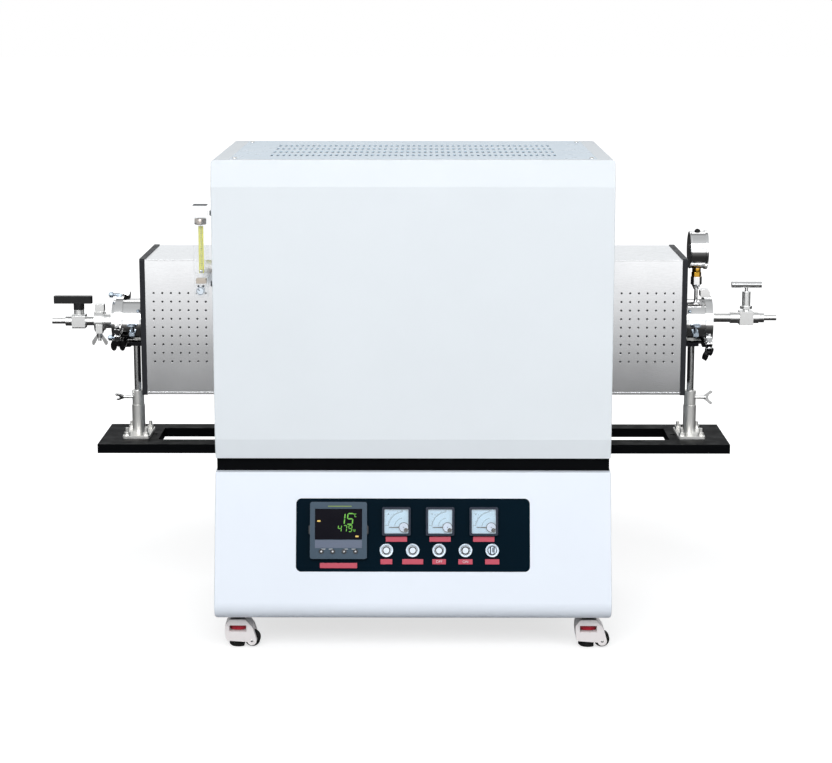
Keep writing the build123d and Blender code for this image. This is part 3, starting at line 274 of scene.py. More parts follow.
METER_PLASTIC = painted("meter_frame", linear(40, 48, 64), 0.40, linear(84, 92, 104), 1500.0,
                        0.00004, 0.12, specular=0.2)
WHITE_PLASTIC = painted("white_plastic", linear(234, 244, 254), 0.22, None, 1500.0, 0.00002, 0.03,
                        coat=0.3)
CREAM = painted("cream_plastic", linear(247, 242, 242), 0.42, linear(196, 192, 188), 1200.0,
                0.00006, 0.05)
RUBBER = painted("black_rubber", linear(14, 14, 15), 0.65, linear(46, 46, 46), 500.0, 0.0002, 0.25,
                 specular=0.3)
ALUMINA = painted("alumina", linear(244, 240, 228), 0.55, None, 500.0, 0.0001, 0.05)
FIBRE = fibrous("fibre_board", linear(240, 236, 226))
ELEMENT = metal("element_metal", linear(92, 92, 96), 0.5)
CORE = painted("core_steel", linear(70, 74, 80), 0.6, linear(120, 120, 120))
NEEDLE = painted("needle_black", linear(18, 20, 26), 0.4, None)
THUMBWHEEL_RED = painted("thumbwheel_red", linear(176, 28, 48), 0.35, linear(226, 120, 132), 1200.0,
                         0.00005, 0.12)
ACRYLIC = clear("clear_acrylic", linear(240, 246, 250), 0.02, ior=1.49, alpha=0.12)

SLOT_MATERIALS = {
    "white_paint": WHITE, "black_paint": BLACK, "frame_paint": FRAME_GREY,
    "stainless": STAINLESS, "polished_steel": POLISHED, "panel_blue_black": PANEL_DARK,
    "black_plastic": BLACK_PLASTIC, "grey_plastic": GREY_PLASTIC, "meter_plastic": METER_PLASTIC,
    "white_plastic": WHITE_PLASTIC, "cream_plastic": CREAM, "clear_acrylic": ACRYLIC,
    "alumina": ALUMINA, "fibre_board": FIBRE, "element_metal": ELEMENT, "core_steel": CORE,
    "rubber": RUBBER, "needle_red": NEEDLE,
}


def dress(node, finish):
    """Give a CAD node one finish on all its faces."""
    cad_object = frame["nodes"][node]
    if not cad_object.material_slots:
        cad_object.data.materials.append(finish)
    for material_slot in cad_object.material_slots:
        material_slot.material = finish


for part in frame["record"]["subparts"]:
    dress(part["node"], SLOT_MATERIALS[part["material_slot"]])

NODE_MATERIALS = {
    "base_front_panel": BASE_WHITE_PAINTED_LIGHT, "top_cover": COVER_WHITE_SHADE_AND_SKY, "shield_ends": TRIM_BLACK,
    "post_sleeves": SATIN, "gas_fittings": FITTING, "left_wing_screw": FITTING,
    "right_wing_screw": FITTING,
}
for node, finish in NODE_MATERIALS.items():
    dress(node, finish)


# ---- Stage and light -------------------------------------------------------------------------
def ramp(n, value, *stops):
    """Straight pieces through (input, output) stops that rise with the input."""
    result = None
    for (x0, y0), (x1, y1) in zip(stops, stops[1:]):
        part = n.remap(value, y0, y1, x0, x1)
        result = part if result is None else n.math("ADD", result, n.math("SUBTRACT", part, y0))
    return result


def stage_material(name):
    """White to the camera with the object's shadow kept; darker near the object in reflections."""
    n = Nodes(name)
    path = n.tree.nodes.new("ShaderNodeLightPath")
    seen = n.math("MAXIMUM", path.outputs["Is Camera Ray"], path.outputs["Is Transmission Ray"])
    split = n.add("ShaderNodeSeparateXYZ", Vector=n.coordinates)
    across = n.math("MULTIPLY", split.outputs["X"], split.outputs["X"])
    along = n.math("MULTIPLY", split.outputs["Y"], split.outputs["Y"])
    distance = n.math("SQRT", n.math("ADD", across, along))
    strength = n.math("MULTIPLY", seen, n.remap(distance, 0.70, 1.0, 0.7, 1.6))
    grain = n.remap(n.noise(3.0, 2.0), 0.98, 1.0)
    diffuse = n.add("ShaderNodeBsdfDiffuse", Color=(0.5, 0.5, 0.5, 1.0))
    glow = n.add("ShaderNodeEmission", Color=(1.0, 1.0, 1.0, 1.0),
                 Strength=n.math("MULTIPLY", strength, grain))
    both = n.tree.nodes.new("ShaderNodeAddShader")
    n.tree.links.new(diffuse.outputs[0], both.inputs[0])
    n.tree.links.new(glow.outputs[0], both.inputs[1])
    wavy = n.math("ADD", split.outputs["Y"], n.remap(n.noise(1.3, 2.0), -0.35, 0.35))
    mirrored = ramp(n, wavy, (-5.2, 1.4), (-4.0, 1.25), (-3.45, 0.34), (-2.7, 0.2), (-2.0, 0.17),
                    (-0.8, 0.03))
    reflected = n.add("ShaderNodeEmission", Color=(1.0, 1.0, 1.0, 1.0), Strength=mirrored)
    chosen = n.tree.nodes.new("ShaderNodeMixShader")
    n.tree.links.new(path.outputs["Is Glossy Ray"], chosen.inputs[0])
    n.tree.links.new(both.outputs[0], chosen.inputs[1])
    n.tree.links.new(reflected.outputs[0], chosen.inputs[2])
    n.tree.links.new(chosen.outputs[0], n.output.inputs["Surface"])
    return n.material


def floor_mesh(reach):
    """A square floor that reaches so many metres from its middle."""
    mesh = bpy.data.meshes.new("floor")
    corners = [(-reach, -reach, 0), (reach, -reach, 0), (reach, reach, 0), (-reach, reach, 0)]
    mesh.from_pydata(corners, [], [(0, 1, 2, 3)])
    return mesh


floor = bpy.data.objects.new("floor", floor_mesh(30.0))
bpy.context.scene.collection.objects.link(floor)
floor.data.materials.append(stage_material("floor_white"))


class WorldNodes(Nodes):
    """The same calls for the world's node tree."""

    def __init__(self, name):
        self.world = bpy.data.worlds.new(name)
        self.world.use_nodes = True
        self.tree = self.world.node_tree
        self.tree.nodes.clear()
        self.output = self.tree.nodes.new("ShaderNodeOutputWorld")
        self.coordinates = self.tree.nodes.new("ShaderNodeTexCoord").outputs["Generated"]


def studio_world():
    """White to the camera; soft light; a bright horizon and a dark upper rear in reflections."""
    n = WorldNodes("studio")
    path = n.tree.nodes.new("ShaderNodeLightPath")
    split = n.add("ShaderNodeSeparateXYZ", Vector=n.coordinates)
    soft = n.remap(split.outputs["Z"], 0.50, 0.30, -0.1, 0.9)
    mirrored = ramp(n, split.outputs["Z"], (0.0, 1.35), (0.3, 1.1), (1.0, 0.55))
    high = n.remap(split.outputs["Z"], 0.3, 1.0, 0.3, 0.5)
    rear = n.remap(split.outputs["Y"], 0.0, 1.0, 0.2, 0.6)
    dimming = n.remap(n.math("MULTIPLY", high, rear), 1.0, 0.25, 0.0, 1.0)
    mirrored = n.math("MULTIPLY", mirrored, dimming)
    level = n.tree.nodes.new("ShaderNodeMix")
    level.data_type = "FLOAT"
    n.put(level.inputs[0], path.outputs["Is Glossy Ray"])
    n.put(level.inputs[2], soft)
    n.put(level.inputs[3], mirrored)
    light = n.add("ShaderNodeBackground", Color=(0.965, 0.985, 1.0, 1.0), Strength=level.outputs[0])
    white = n.add("ShaderNodeBackground", Color=(1.0, 1.0, 1.0, 1.0), Strength=1.0)
    chosen = n.tree.nodes.new("ShaderNodeMixShader")
    seen = n.math("MAXIMUM", path.outputs["Is Camera Ray"], path.outputs["Is Transmission Ray"])
    n.put(chosen.inputs[0], seen)
    n.tree.links.new(light.outputs[0], chosen.inputs[1])
    n.tree.links.new(white.outputs[0], chosen.inputs[2])
    n.tree.links.new(chosen.outputs[0], n.output.inputs["Surface"])
    return n.world


bpy.context.scene.world = studio_world()


def area_light(name, place, target, size, power):
    """A rectangular lamp (metres, watts) turned towards its target."""
    data = bpy.data.lights.new(name, "AREA")
    data.shape = "RECTANGLE"
    data.size, data.size_y = size
    data.energy = power
    lamp = bpy.data.objects.new(name, data)
    lamp.location = place
    lamp.rotation_euler = (Vector(target) - Vector(place)).to_track_quat("-Z", "Y").to_euler()
    bpy.context.scene.collection.objects.link(lamp)


area_light("key", (-0.6, -3.8, 2.95), (0, 0, 0.45), (3.4, 2.2), 123)
area_light("fill", (2.6, -2.6, 1.9), (0, 0, 0.4), (2.0, 2.0), 24)
area_light("rim", (0, 2.6, 2.8), (0, 0, 0.6), (3.0, 1.4), 18)


# ---- Mesh helpers ----------------------------------------------------------------------------
def piece(name, mesh, material, body=ROOT, matrix=None, smooth=True):
    """A finished piece that rides on a body."""
    obj = bpy.data.objects.new(name, mesh)
    bpy.context.scene.collection.objects.link(obj)
    mesh.materials.append(material)
    if matrix is not None:
        mesh.transform(matrix)
    for polygon in mesh.polygons:
        polygon.use_smooth = smooth
    if smooth:
        mesh.set_sharp_from_angle(angle=math.radians(35))
    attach(obj, body)


def to_mesh(name, bm):
    """The drawn shape as a mesh, its points merged and its faces turned outward."""
    bmesh.ops.remove_doubles(bm, verts=bm.verts, dist=1e-7)
    bmesh.ops.recalc_face_normals(bm, faces=bm.faces)
    mesh = bpy.data.meshes.new(name)
    bm.to_mesh(mesh)
    bm.free()
    return mesh


def rounded_outline(width, height, radius, steps):
    """A rectangle around the origin with rounded corners of so many steps each."""
    points = []
    for cx, cy, start in ((1, 1, 0), (-1, 1, 90), (-1, -1, 180), (1, -1, 270)):
        for step in range(steps + 1):
            angle = math.radians(start + 90 * step / steps)
            points.append((cx * (width / 2 - radius) + radius * math.cos(angle),
                           cy * (height / 2 - radius) + radius * math.sin(angle)))
    return points


def add_prism(bm, outline, low, high, matrix=Matrix(), chamfer=0.0):
    """An outline (millimetres) pushed from low to high, its top edge chamfered."""
    count = len(outline)
    middle = Vector((sum(p[0] for p in outline) / count, sum(p[1] for p in outline) / count))
    rings = [(low, 0.0), (high - chamfer, 0.0)]
    if chamfer > 0:
        rings.append((high, chamfer))
    loops = []
    for z, inset in rings:
        loop = []
        for x, y in outline:
            away = Vector((x, y)) - middle
            scale = 1 - inset / max(away.length, 1e-6)
            loop.append(bm.verts.new(matrix @ Vector(((middle.x + away.x * scale) * MM,
                                                      (middle.y + away.y * scale) * MM, z * MM))))
        loops.append(loop)
    bm.faces.new(list(reversed(loops[0])))
    bm.faces.new(loops[-1])
    for lower, upper in zip(loops, loops[1:]):
        for index in range(count):
            nxt = (index + 1) % count
            bm.faces.new((lower[index], lower[nxt], upper[nxt], upper[index]))


def add_lathe(bm, profile, matrix=Matrix(), segments=48):
    """A profile of (radius, height) points in millimetres turned about Z."""
    rings = []
    for radius, z in profile:
        if radius < 1e-6:
            rings.append([bm.verts.new(matrix @ Vector((0, 0, z * MM)))])
            continue
        rings.append([
            bm.verts.new(matrix @ Vector((radius * MM * math.cos(2 * math.pi * k / segments),
                                          radius * MM * math.sin(2 * math.pi * k / segments),
                                          z * MM)))
            for k in range(segments)
        ])
    for first, second in zip(rings, rings[1:]):
        for k in range(segments):
            nxt = (k + 1) % segments
            corners = [first[k % len(first)], first[nxt % len(first)],
                       second[nxt % len(second)], second[k % len(second)]]
            unique = list(dict.fromkeys(corners))
            if len(unique) > 2:
                bm.faces.new(unique)


def circle(radius, count, cx=0.0, cy=0.0):
    """A regular polygon of so many corners, as an outline."""
    return [(cx + radius * math.cos(2 * math.pi * k / count),
             cy + radius * math.sin(2 * math.pi * k / count)) for k in range(count)]


def at(x, y, z):
    """A place in millimetres as a matrix."""
    return Matrix.Translation((x * MM, y * MM, z * MM))


def on_panel(u, v, w=0.0):
    """A place on the control panel: right, up and out of it."""
    return PANEL @ at(u, v, w)


def facing(direction):
    """A turn that takes +Z to a direction."""
    return Vector(direction).to_track_quat("Z", "Y").to_matrix().to_4x4()


def words(name, body_text, size, material, matrix):
    """Raised lettering as a mesh, centred on its place."""
    curve = bpy.data.curves.new(name, "FONT")
    curve.body = body_text
    curve.size = size * MM
    curve.align_x = "CENTER"
    curve.align_y = "CENTER"
    curve.extrude = 0.04 * MM
    curve.resolution_u = 3
    holder = bpy.data.objects.new(name + "_curve", curve)
    mesh = bpy.data.meshes.new_from_object(holder)
    bpy.data.objects.remove(holder)
    mesh.materials.clear()
    piece(name, mesh, material, matrix=matrix, smooth=False)


# ---- Control panel ---------------------------------------------------------------------------
LABEL_RED = painted("label_red", linear(196, 62, 86), 0.35, linear(226, 120, 134), 1400.0, 0.00003,
                    0.08)
SCREEN = painted("display_black", linear(8, 6, 18), 0.16, None, 1500.0, 0.00001, 0.1, specular=0.08)
GREEN = glowing("segment_green", linear(112, 206, 52), 0.9)
YELLOW = glowing("mark_yellow", linear(246, 208, 96), 1.0)
HEADER_GREEN = painted("header_green", linear(124, 150, 66), 0.4)
STRIP_GREY = painted("controller_strip", linear(88, 100, 122), 0.42, None, 1500.0, 0.00004)
KEY_DARK = painted("key_dark", linear(26, 30, 36), 0.4, linear(70, 74, 80))
METER_FACE = painted("meter_face", linear(198, 230, 250), 0.5, None, 1500.0, 0.00001, 0.02,
                     specular=0.2)
INK = painted("dial_ink", linear(34, 40, 58), 0.6, None, 1500.0, 0.00001, 0.05)
PALE_INK = painted("pale_print", linear(226, 228, 232), 0.5, None, 1500.0, 0.00001, 0.03)
RING_BLACK = painted("ring_black", linear(10, 12, 18), 0.6, None, 1500.0, 0.00001, 0.05,
                     specular=0.05)
HUB_PALE = painted("meter_hub_pale", linear(206, 222, 242), 0.4, None, 1500.0, 0.00001, 0.02)
GLASS = clear("instrument_glass", (1.0, 1.0, 1.0, 1.0), 0.01, ior=1.45, alpha=0.10)

# Places on the panel: u runs to the right and v up from its middle.
CONTROLLER_U, CONTROLLER_V = -125.6, 7.6
CONTROLLER_FRONT = PLATE_FRONT + 8.0
KEY_PITCH = 19.2
METER_U = (-28.0, 45.8, 119.6)
METER_V = 23.0
BUTTON_U = (-44.8, -0.4, 44.1, 88.6, 133.7)
BUTTON_V = -25.9
BEZEL_FRONT = PLATE_FRONT + 4.0
BUTTON_LABEL_V = -44.8
LABEL_HEIGHT = 8.8
LABEL_FACE = PLATE_FRONT + 0.8

labels = [(CONTROLLER_U, -51.4, 63.0)]
labels += [(u, -6.8, 36.0) for u in METER_U]
labels += [(u, BUTTON_LABEL_V, width)
           for u, width in zip(BUTTON_U, (20.0, 35.5, 23.0, 24.0, 24.0))]
bm = bmesh.new()
for u, v, width in labels:
    add_prism(bm, rounded_outline(width, LABEL_HEIGHT, 0.6, 2), PLATE_FRONT - 0.5, LABEL_FACE,
              on_panel(u, v), 0.25)
piece("label_plates", to_mesh("label_plates", bm), LABEL_RED)
for name, text, u in (("label_off", "OFF", BUTTON_U[2]), ("label_on", "ON", BUTTON_U[3])):
    words(name, text, 6.2, PALE_INK, on_panel(u, BUTTON_LABEL_V, LABEL_FACE + 0.03))


def segment_digit(bm, digit, u, v, height, thick, matrix):
    """One seven-segment digit, slightly slanted."""
    lit = {"1": "bc", "4": "bcfg", "5": "acdfg", "7": "abc", "9": "abcdfg"}[digit]
    half_h = height / 2
    w = height * 0.5
    gap = thick * 0.2
    level = {"a": half_h, "g": 0.0, "d": -half_h}
    upright = {"f": (0, 1), "b": (1, 1), "e": (0, -1), "c": (1, -1)}
    slant = 0.10
    for name in lit:
        t = thick / 2
        if name in level:
            y = level[name]
            outline = [(t + gap, y - t), (w - t - gap, y - t), (w - gap, y), (w - t - gap, y + t),
                       (t + gap, y + t), (gap, y)]
        else:
            side, up = upright[name]
            x = w * side
            y0, y1 = (gap, half_h - gap) if up > 0 else (-half_h + gap, -gap)
            outline = [(x - t, y0 + t), (x, y0), (x + t, y0 + t), (x + t, y1 - t), (x, y1),
                       (x - t, y1 - t)]
        outline = [(u + x + slant * (y + half_h), v + y) for x, y in outline]
        add_prism(bm, outline, 0.0, 0.12, matrix)


SCREEN_V = CONTROLLER_V + 10.4
SCREEN_FRONT = CONTROLLER_FRONT - 1.4
glow_at = on_panel(CONTROLLER_U, SCREEN_V, SCREEN_FRONT)

bm = bmesh.new()
add_prism(bm, rounded_outline(79.6, 51.6, 1.0, 3), CONTROLLER_FRONT - 2.98, SCREEN_FRONT,
          on_panel(CONTROLLER_U, SCREEN_V), 0.2)
piece("display_screen", to_mesh("display_screen", bm), SCREEN)
bm = bmesh.new()
segment_digit(bm, "1", 0.4, 9.1, 18.0, 1.9, glow_at)
segment_digit(bm, "5", 14.2, 9.1, 18.0, 1.9, glow_at)
for index, digit in enumerate("479"):
    segment_digit(bm, digit, -1.0 + index * 8.9, -7.2, 10.4, 1.3, glow_at)
add_prism(bm, circle(0.9, 12, 25.6, 17.4), 0.0, 0.12, glow_at)
UNIT_STROKES = (
    (27.0, 30.0, 12.2, 13.1), (27.0, 30.0, 16.9, 17.8), (27.0, 27.9, 12.2, 17.8),
    (25.4, 28.4, -12.0, -11.2), (25.4, 26.2, -12.0, -8.4), (27.6, 28.4, -12.0, -8.4),
)
for low_u, high_u, low_v, high_v in UNIT_STROKES:
    add_prism(bm, [(low_u, low_v), (high_u, low_v), (high_u, high_v), (low_u, high_v)], 0.0, 0.12,
              glow_at)
piece("display_digits", to_mesh("display_digits", bm), GREEN, smooth=False)
bm = bmesh.new()
for u, v in ((-33.2, 5.4), (31.2, -20.4)):
    add_prism(bm, rounded_outline(5.4, 2.6, 0.6, 2), 0.0, 0.12, glow_at @ at(u, v, 0))
piece("display_marks", to_mesh("display_marks", bm), YELLOW, smooth=False)
bm = bmesh.new()
add_prism(bm, [(-18.0, 39.9), (22.0, 39.9), (22.0, 41.5), (-18.0, 41.5)],
          CONTROLLER_FRONT - 0.4, CONTROLLER_FRONT + 0.05, on_panel(CONTROLLER_U, CONTROLLER_V))
piece("controller_header_line", to_mesh("controller_header_line", bm), HEADER_GREEN)
bm = bmesh.new()
add_prism(bm, rounded_outline(79.6, 13.6, 0.8, 2), CONTROLLER_FRONT - 0.5,
          CONTROLLER_FRONT + 0.25, on_panel(CONTROLLER_U, CONTROLLER_V - 23.0), 0.3)
piece("controller_strip", to_mesh("controller_strip", bm), STRIP_GREY)
bm = bmesh.new()
for side in (-1, 1):
    add_prism(bm, rounded_outline(3.6, 15.0, 1.6, 4), PLATE_FRONT - 2, CONTROLLER_FRONT - 1.5,
              on_panel(CONTROLLER_U + side * 48.6, CONTROLLER_V + 1.0), 0.6)
piece("controller_clips", to_mesh("controller_clips", bm), KEY_DARK)
bm = bmesh.new()
for pair_u in (-KEY_PITCH, KEY_PITCH):
    for side in (-1, 1):
        add_prism(bm, rounded_outline(7.0, 0.9, 0.3, 2), CONTROLLER_FRONT - 0.4,
                  CONTROLLER_FRONT + 0.05,
                  on_panel(CONTROLLER_U + pair_u + side * 6.4, CONTROLLER_V - 31.4))
piece("key_marks", to_mesh("key_marks", bm), PALE_INK, smooth=False)
for index in range(1, 5):
    dress(f"controller_key_{index}", KEY_DARK)
    bm = bmesh.new()
    place = on_panel(CONTROLLER_U + (index - 2.5) * KEY_PITCH, CONTROLLER_V - 35.5,
                     CONTROLLER_FRONT + 1.0)
    if index < 3:
        symbol = circle(1.9, 4)
    else:
        turn = 90 if index == 4 else -90
        symbol = [(2.1 * math.cos(math.radians(turn + a)), 2.1 * math.sin(math.radians(turn + a)))
                  for a in (0, 120, 240)]
    add_prism(bm, symbol, -0.2, 0.08, place)
    piece(f"key_symbol_{index}", to_mesh(f"key_symbol_{index}", bm), PALE_INK,
          body=f"controller_key_{index}", smooth=False)

PIVOT = (12.5, -10.0)                    # the needles' axis, from a meter's middle
METER_FLOOR = PLATE_FRONT + 2.5
SCALE_RADIUS = 26.0


def dial_ticks(bm, centre, radius, start, end, count, length, width, matrix, low, high):
    """Radial marks between two angles in degrees, every fifth one at full length."""
    for index in range(count):
        angle = math.radians(start + (end - start) * index / (count - 1))
        span = length if index % 5 == 0 else length * 0.55
        direction = Vector((math.cos(angle), math.sin(angle)))
        across = Vector((-direction.y, direction.x)) * width / 2
        inner, outer = direction * radius, direction * (radius + span)
        outline = [inner - across, outer - across, outer + across, inner + across]
        add_prism(bm, [(centre[0] + p.x, centre[1] + p.y) for p in outline], low, high, matrix)


def dial_arc(bm, centre, radius, width, start, end, matrix, low, high, steps=24):
    """A narrow band between two angles in degrees, its outer edge at the radius."""
    outline = []
    for index in range(steps + 1):
        angle = math.radians(start + (end - start) * index / steps)
        outline.append((centre[0] + radius * math.cos(angle), centre[1] + radius * math.sin(angle)))
    inner = [(centre[0] + (x - centre[0]) * (radius - width) / radius,
              centre[1] + (y - centre[1]) * (radius - width) / radius) for x, y in outline]
    for (a, b), (c, d) in zip(zip(outline, outline[1:]), zip(inner, inner[1:])):
        add_prism(bm, [a, b, d, c], low, high, matrix)


for name, u, letter in zip(("left", "middle", "right"), METER_U, "AVV"):
    floor_at = on_panel(u, METER_V, METER_FLOOR)
    bm = bmesh.new()
    add_prism(bm, rounded_outline(40.6, 40.6, 1.4, 3), 0.02, 0.5, floor_at, 0.1)
    piece(f"{name}_meter_face", to_mesh("face", bm), METER_FACE)
    bm = bmesh.new()
    dial_arc(bm, PIVOT, SCALE_RADIUS, 0.35, 96, 174, floor_at, 0.5, 0.56)
    dial_ticks(bm, PIVOT, SCALE_RADIUS, 96, 174, 26, 3.0, 0.42, floor_at, 0.5, 0.56)
    dial_arc(bm, PIVOT, 8.5, 0.8, 0, 360, floor_at, 0.5, 0.62, 40)
    dial_arc(bm, PIVOT, 16.0, 0.5, 100, 172, floor_at, 0.5, 0.56)
    piece(f"{name}_meter_scale", to_mesh("scale", bm), INK, smooth=False)
    bm = bmesh.new()
    add_lathe(bm, [(0, 3.6), (2.8, 3.5), (3.5, 3.1), (3.7, 2.3)],
              floor_at @ at(PIVOT[0] + 3.6, PIVOT[1] - 4.8, 0), 24)
    dial_arc(bm, PIVOT, 8.4, 0.9, 0, 360, floor_at, 2.3, 2.8, 40)
    piece(f"{name}_meter_adjuster", to_mesh("adjuster", bm), RING_BLACK)
    bm = bmesh.new()
    add_prism(bm, circle(7.7, 40, *PIVOT), 2.3, 2.65, floor_at, 0.1)
    piece(f"{name}_meter_hub_cover", to_mesh("hub_cover", bm), HUB_PALE)
    bm = bmesh.new()
    add_prism(bm, [(-25.0, -0.55), (-25.0, 0.55), (-8.0, 0.85), (-8.0, -0.85)], 2.0, 2.2,
              floor_at @ at(PIVOT[0], PIVOT[1], 0))
    piece(f"{name}_meter_pointer_skin", to_mesh("pointer_skin", bm), NEEDLE,
          body=f"{name}_meter_needle", smooth=False)
    words(f"{name}_meter_letter", letter, 5.0, INK, floor_at @ at(-13.5, 12.0, 0.52))
    for count, number in enumerate(("0", "5", "10")):
        angle = math.radians(174 - 78 * count / 2)
        spot = (PIVOT[0] + 31.6 * math.cos(angle), PIVOT[1] + 31.6 * math.sin(angle))
        if count == 1:
            spot = (spot[0] + 1.2, spot[1] - 1.2)
        words(f"{name}_meter_number_{count}", number, 3.2, INK,
              floor_at @ at(max(spot[0], -17.6), min(spot[1], 17.4), 0.52))
    bm = bmesh.new()
    add_prism(bm, rounded_outline(40.8, 40.8, 1.4, 3), 3.9, 4.4, floor_at, 0.1)
    piece(f"{name}_meter_glass", to_mesh("glass", bm), GLASS)

CHROME = metal("satin_chrome", linear(176, 188, 200), 0.34, (1.0, 1.0, 1.0), 900.0, 0.000004, 0.04)

bm = bmesh.new()
dark = bmesh.new()
for u in BUTTON_U:
    place = on_panel(u, BUTTON_V, BEZEL_FRONT)
    add_lathe(bm, [(8.3, -0.1), (8.5, 0.3), (9.4, 0.45), (10.9, 0.45), (11.4, 0.1), (11.4, -3.9)],
              place)
    add_lathe(dark, [(7.75, -0.4), (7.75, 0.1), (8.2, 0.1), (8.2, -0.1)], place)
piece("bezel_rings", to_mesh("bezel_rings", bm), CHROME)
piece("bezel_grooves", to_mesh("bezel_grooves", dark), BLACK_PLASTIC)
for count, (body, top) in enumerate(((ROOT, 1.0), (ROOT, 1.0), ("off_button", 1.5),
                                     ("on_button", 1.5))):
    bm = bmesh.new()
    add_lathe(bm, [(5.0, -0.3), (5.05, 0.15), (6.75, 0.15), (6.8, -0.3)],
              on_panel(BUTTON_U[count], BUTTON_V, BEZEL_FRONT + top))
    piece(f"button_ring_{count + 1}", to_mesh("button_ring", bm), RING_BLACK, body=body)

dress("rotary_switch", CHROME)
switch_at = on_panel(BUTTON_U[4], BUTTON_V, BEZEL_FRONT)
grip_at = switch_at @ at(0, 0, 7.0)
bm = bmesh.new()
add_prism(bm, rounded_outline(1.7, 8.6, 0.7, 3), -0.2, 0.12, grip_at @ at(0.9, 0.9, 0))
piece("rotary_switch_line", to_mesh("rotary_switch_line", bm), RING_BLACK, body="rotary_switch",
      smooth=False)
bm = bmesh.new()
for side in (-1, 1):
    add_prism(bm, rounded_outline(1.5, 12.6, 0.7, 3), 0.8, 1.25, switch_at @ at(side * 3.1, 0, 0))
add_lathe(bm, [(6.5, 0.8), (6.55, 1.2), (7.1, 1.2), (7.15, 0.8)], switch_at)
piece("rotary_switch_shadow_gap", to_mesh("rotary_switch_shadow_gap", bm), RING_BLACK,
      body="rotary_switch", smooth=False)


# ---- Cabinet screws --------------------------------------------------------------------------
def dome_screw(bm, place, radius, height):
    """A low dome head with a dimple, its seat at the place's origin and its head along Z."""
    add_lathe(bm, [(0, height * 0.55), (radius * 0.16, height * 0.6), (radius * 0.2, height),
                   (radius * 0.62, height * 0.86), (radius * 0.9, height * 0.45), (radius, -0.3)],
              place, 24)


bm = bmesh.new()
for x, y in ((-298, -150), (298, -150), (-298, 220), (298, 220)):
    dome_screw(bm, at(x, y, TOP_Z), 4.6, 2.0)
piece("cover_screws", to_mesh("cover_screws", bm), TURNED)

cabinet_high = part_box("upper_panels")[1] / MM
base_low, base_high = (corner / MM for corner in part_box("base_panels"))
PANEL_SCREW = (4.0, 1.6)                 # head radius and height
bm = bmesh.new()
for x in (-290, -97, 97, 290):
    for back_y, z in ((cabinet_high.y, 350), (cabinet_high.y, 800),
                      (base_high.y, 85), (base_high.y, 285)):
        dome_screw(bm, at(x, back_y, z) @ facing((0, 1, 0)), *PANEL_SCREW)
for side, box_x in ((-1, base_low.x), (1, base_high.x)):
    for y in (-120, 30, 215):
        for z in (90, 280):
            dome_screw(bm, at(box_x, y, z) @ facing((side, 0, 0)), *PANEL_SCREW)
piece("panel_screws", to_mesh("panel_screws", bm), TURNED)


# ---- Tube flanges ----------------------------------------------------------------------------
FLANGE_RADIUS = 40.0
FLANGE_X = 487                           # the ring screws' plane
LUG_X = 497
CAP_FACE_X = 527.9
CLAMP_X = 515.4


def hexagon(radius):
    """A hexagon nut's outline by its corner radius."""
    return circle(radius, 6)


bolts = bmesh.new()
for side in (-1, 1):
    lug = at(side * LUG_X, AXIS_Y - FLANGE_RADIUS, 0)
    add_prism(bolts, rounded_outline(11, 12, 1.5, 3), 505, 511, lug @ at(0, -2.5, 0), 0.4)
    add_lathe(bolts, [(0, 527.5), (6.4, 527), (9.2, 525.2), (9.4, 522.6), (6.0, 521.4),
                      (2.6, 520.6), (2.6, 503), (1.8, 501.5), (0, 501.5)], lug @ at(0, -4.4, 0), 32)
    for angle in (35, 155, 275):
        turn = math.radians(angle)
        direction = (0, -math.cos(turn), math.sin(turn))
        seat = FLANGE_RADIUS - 0.3
        place = at(side * FLANGE_X, AXIS_Y + direction[1] * seat, AXIS_Z + direction[2] * seat)
        dome_screw(bolts, place @ facing(direction), 3.4, 2.4)
for y, z in ((-2, 47.5), (-26, -26)):
    head = at(-CAP_FACE_X, AXIS_Y + y, AXIS_Z + z) @ facing((-1, 0, 0))
    add_prism(bolts, hexagon(5.6), 7.5, 13.5, head, 0.5)
    add_lathe(bolts, [(0, 15.0), (2.4, 15.0), (2.8, 14.4), (2.8, -8.0)], head, 24)
piece("flange_bolts", to_mesh("flange_bolts", bolts), CHROME)
bm = bmesh.new()
# The dome on top of the left clamp is painted shade: a black cap where that clamp's hood lies in
# shade. The lower domes are black rubber caps.
for side, spots in ((-1, ((8, 44.0), (-24, -38.0))), (1, ((-24, -38.0),))):
    for y, z in spots:
        outward = facing((-side * 0.4, 0.1, 1 if z > 0 else -1))
        add_lathe(bm, [(0, 3.0), (4.0, 2.4), (6.4, 0.6), (7.0, -2.0), (7.0, -5.0)],
                  at(side * CLAMP_X, AXIS_Y + y, AXIS_Z + z) @ outward, 24)
piece("clamp_caps_and_hood_shade", to_mesh("clamp_caps_and_hood_shade", bm), RUBBER)


# ---- Pressure gauge --------------------------------------------------------------------------
GAUGE_FRONT = 518.5                      # the case's open rim
GAUGE_X = 501.3                          # the stem's axis
GAUGE_Z = AXIS_Z + 128.5
FACING_RIGHT = Matrix(((0, 0, 1, 0), (1, 0, 0, 0), (0, 1, 0, 0), (0, 0, 0, 1)))
GAUGE_FLOOR = at(GAUGE_FRONT - 12, AXIS_Y, GAUGE_Z) @ FACING_RIGHT
DIAL_WHITE = painted("dial_white", linear(246, 246, 242), 0.45, None, 1500.0, 0.00001, 0.02)

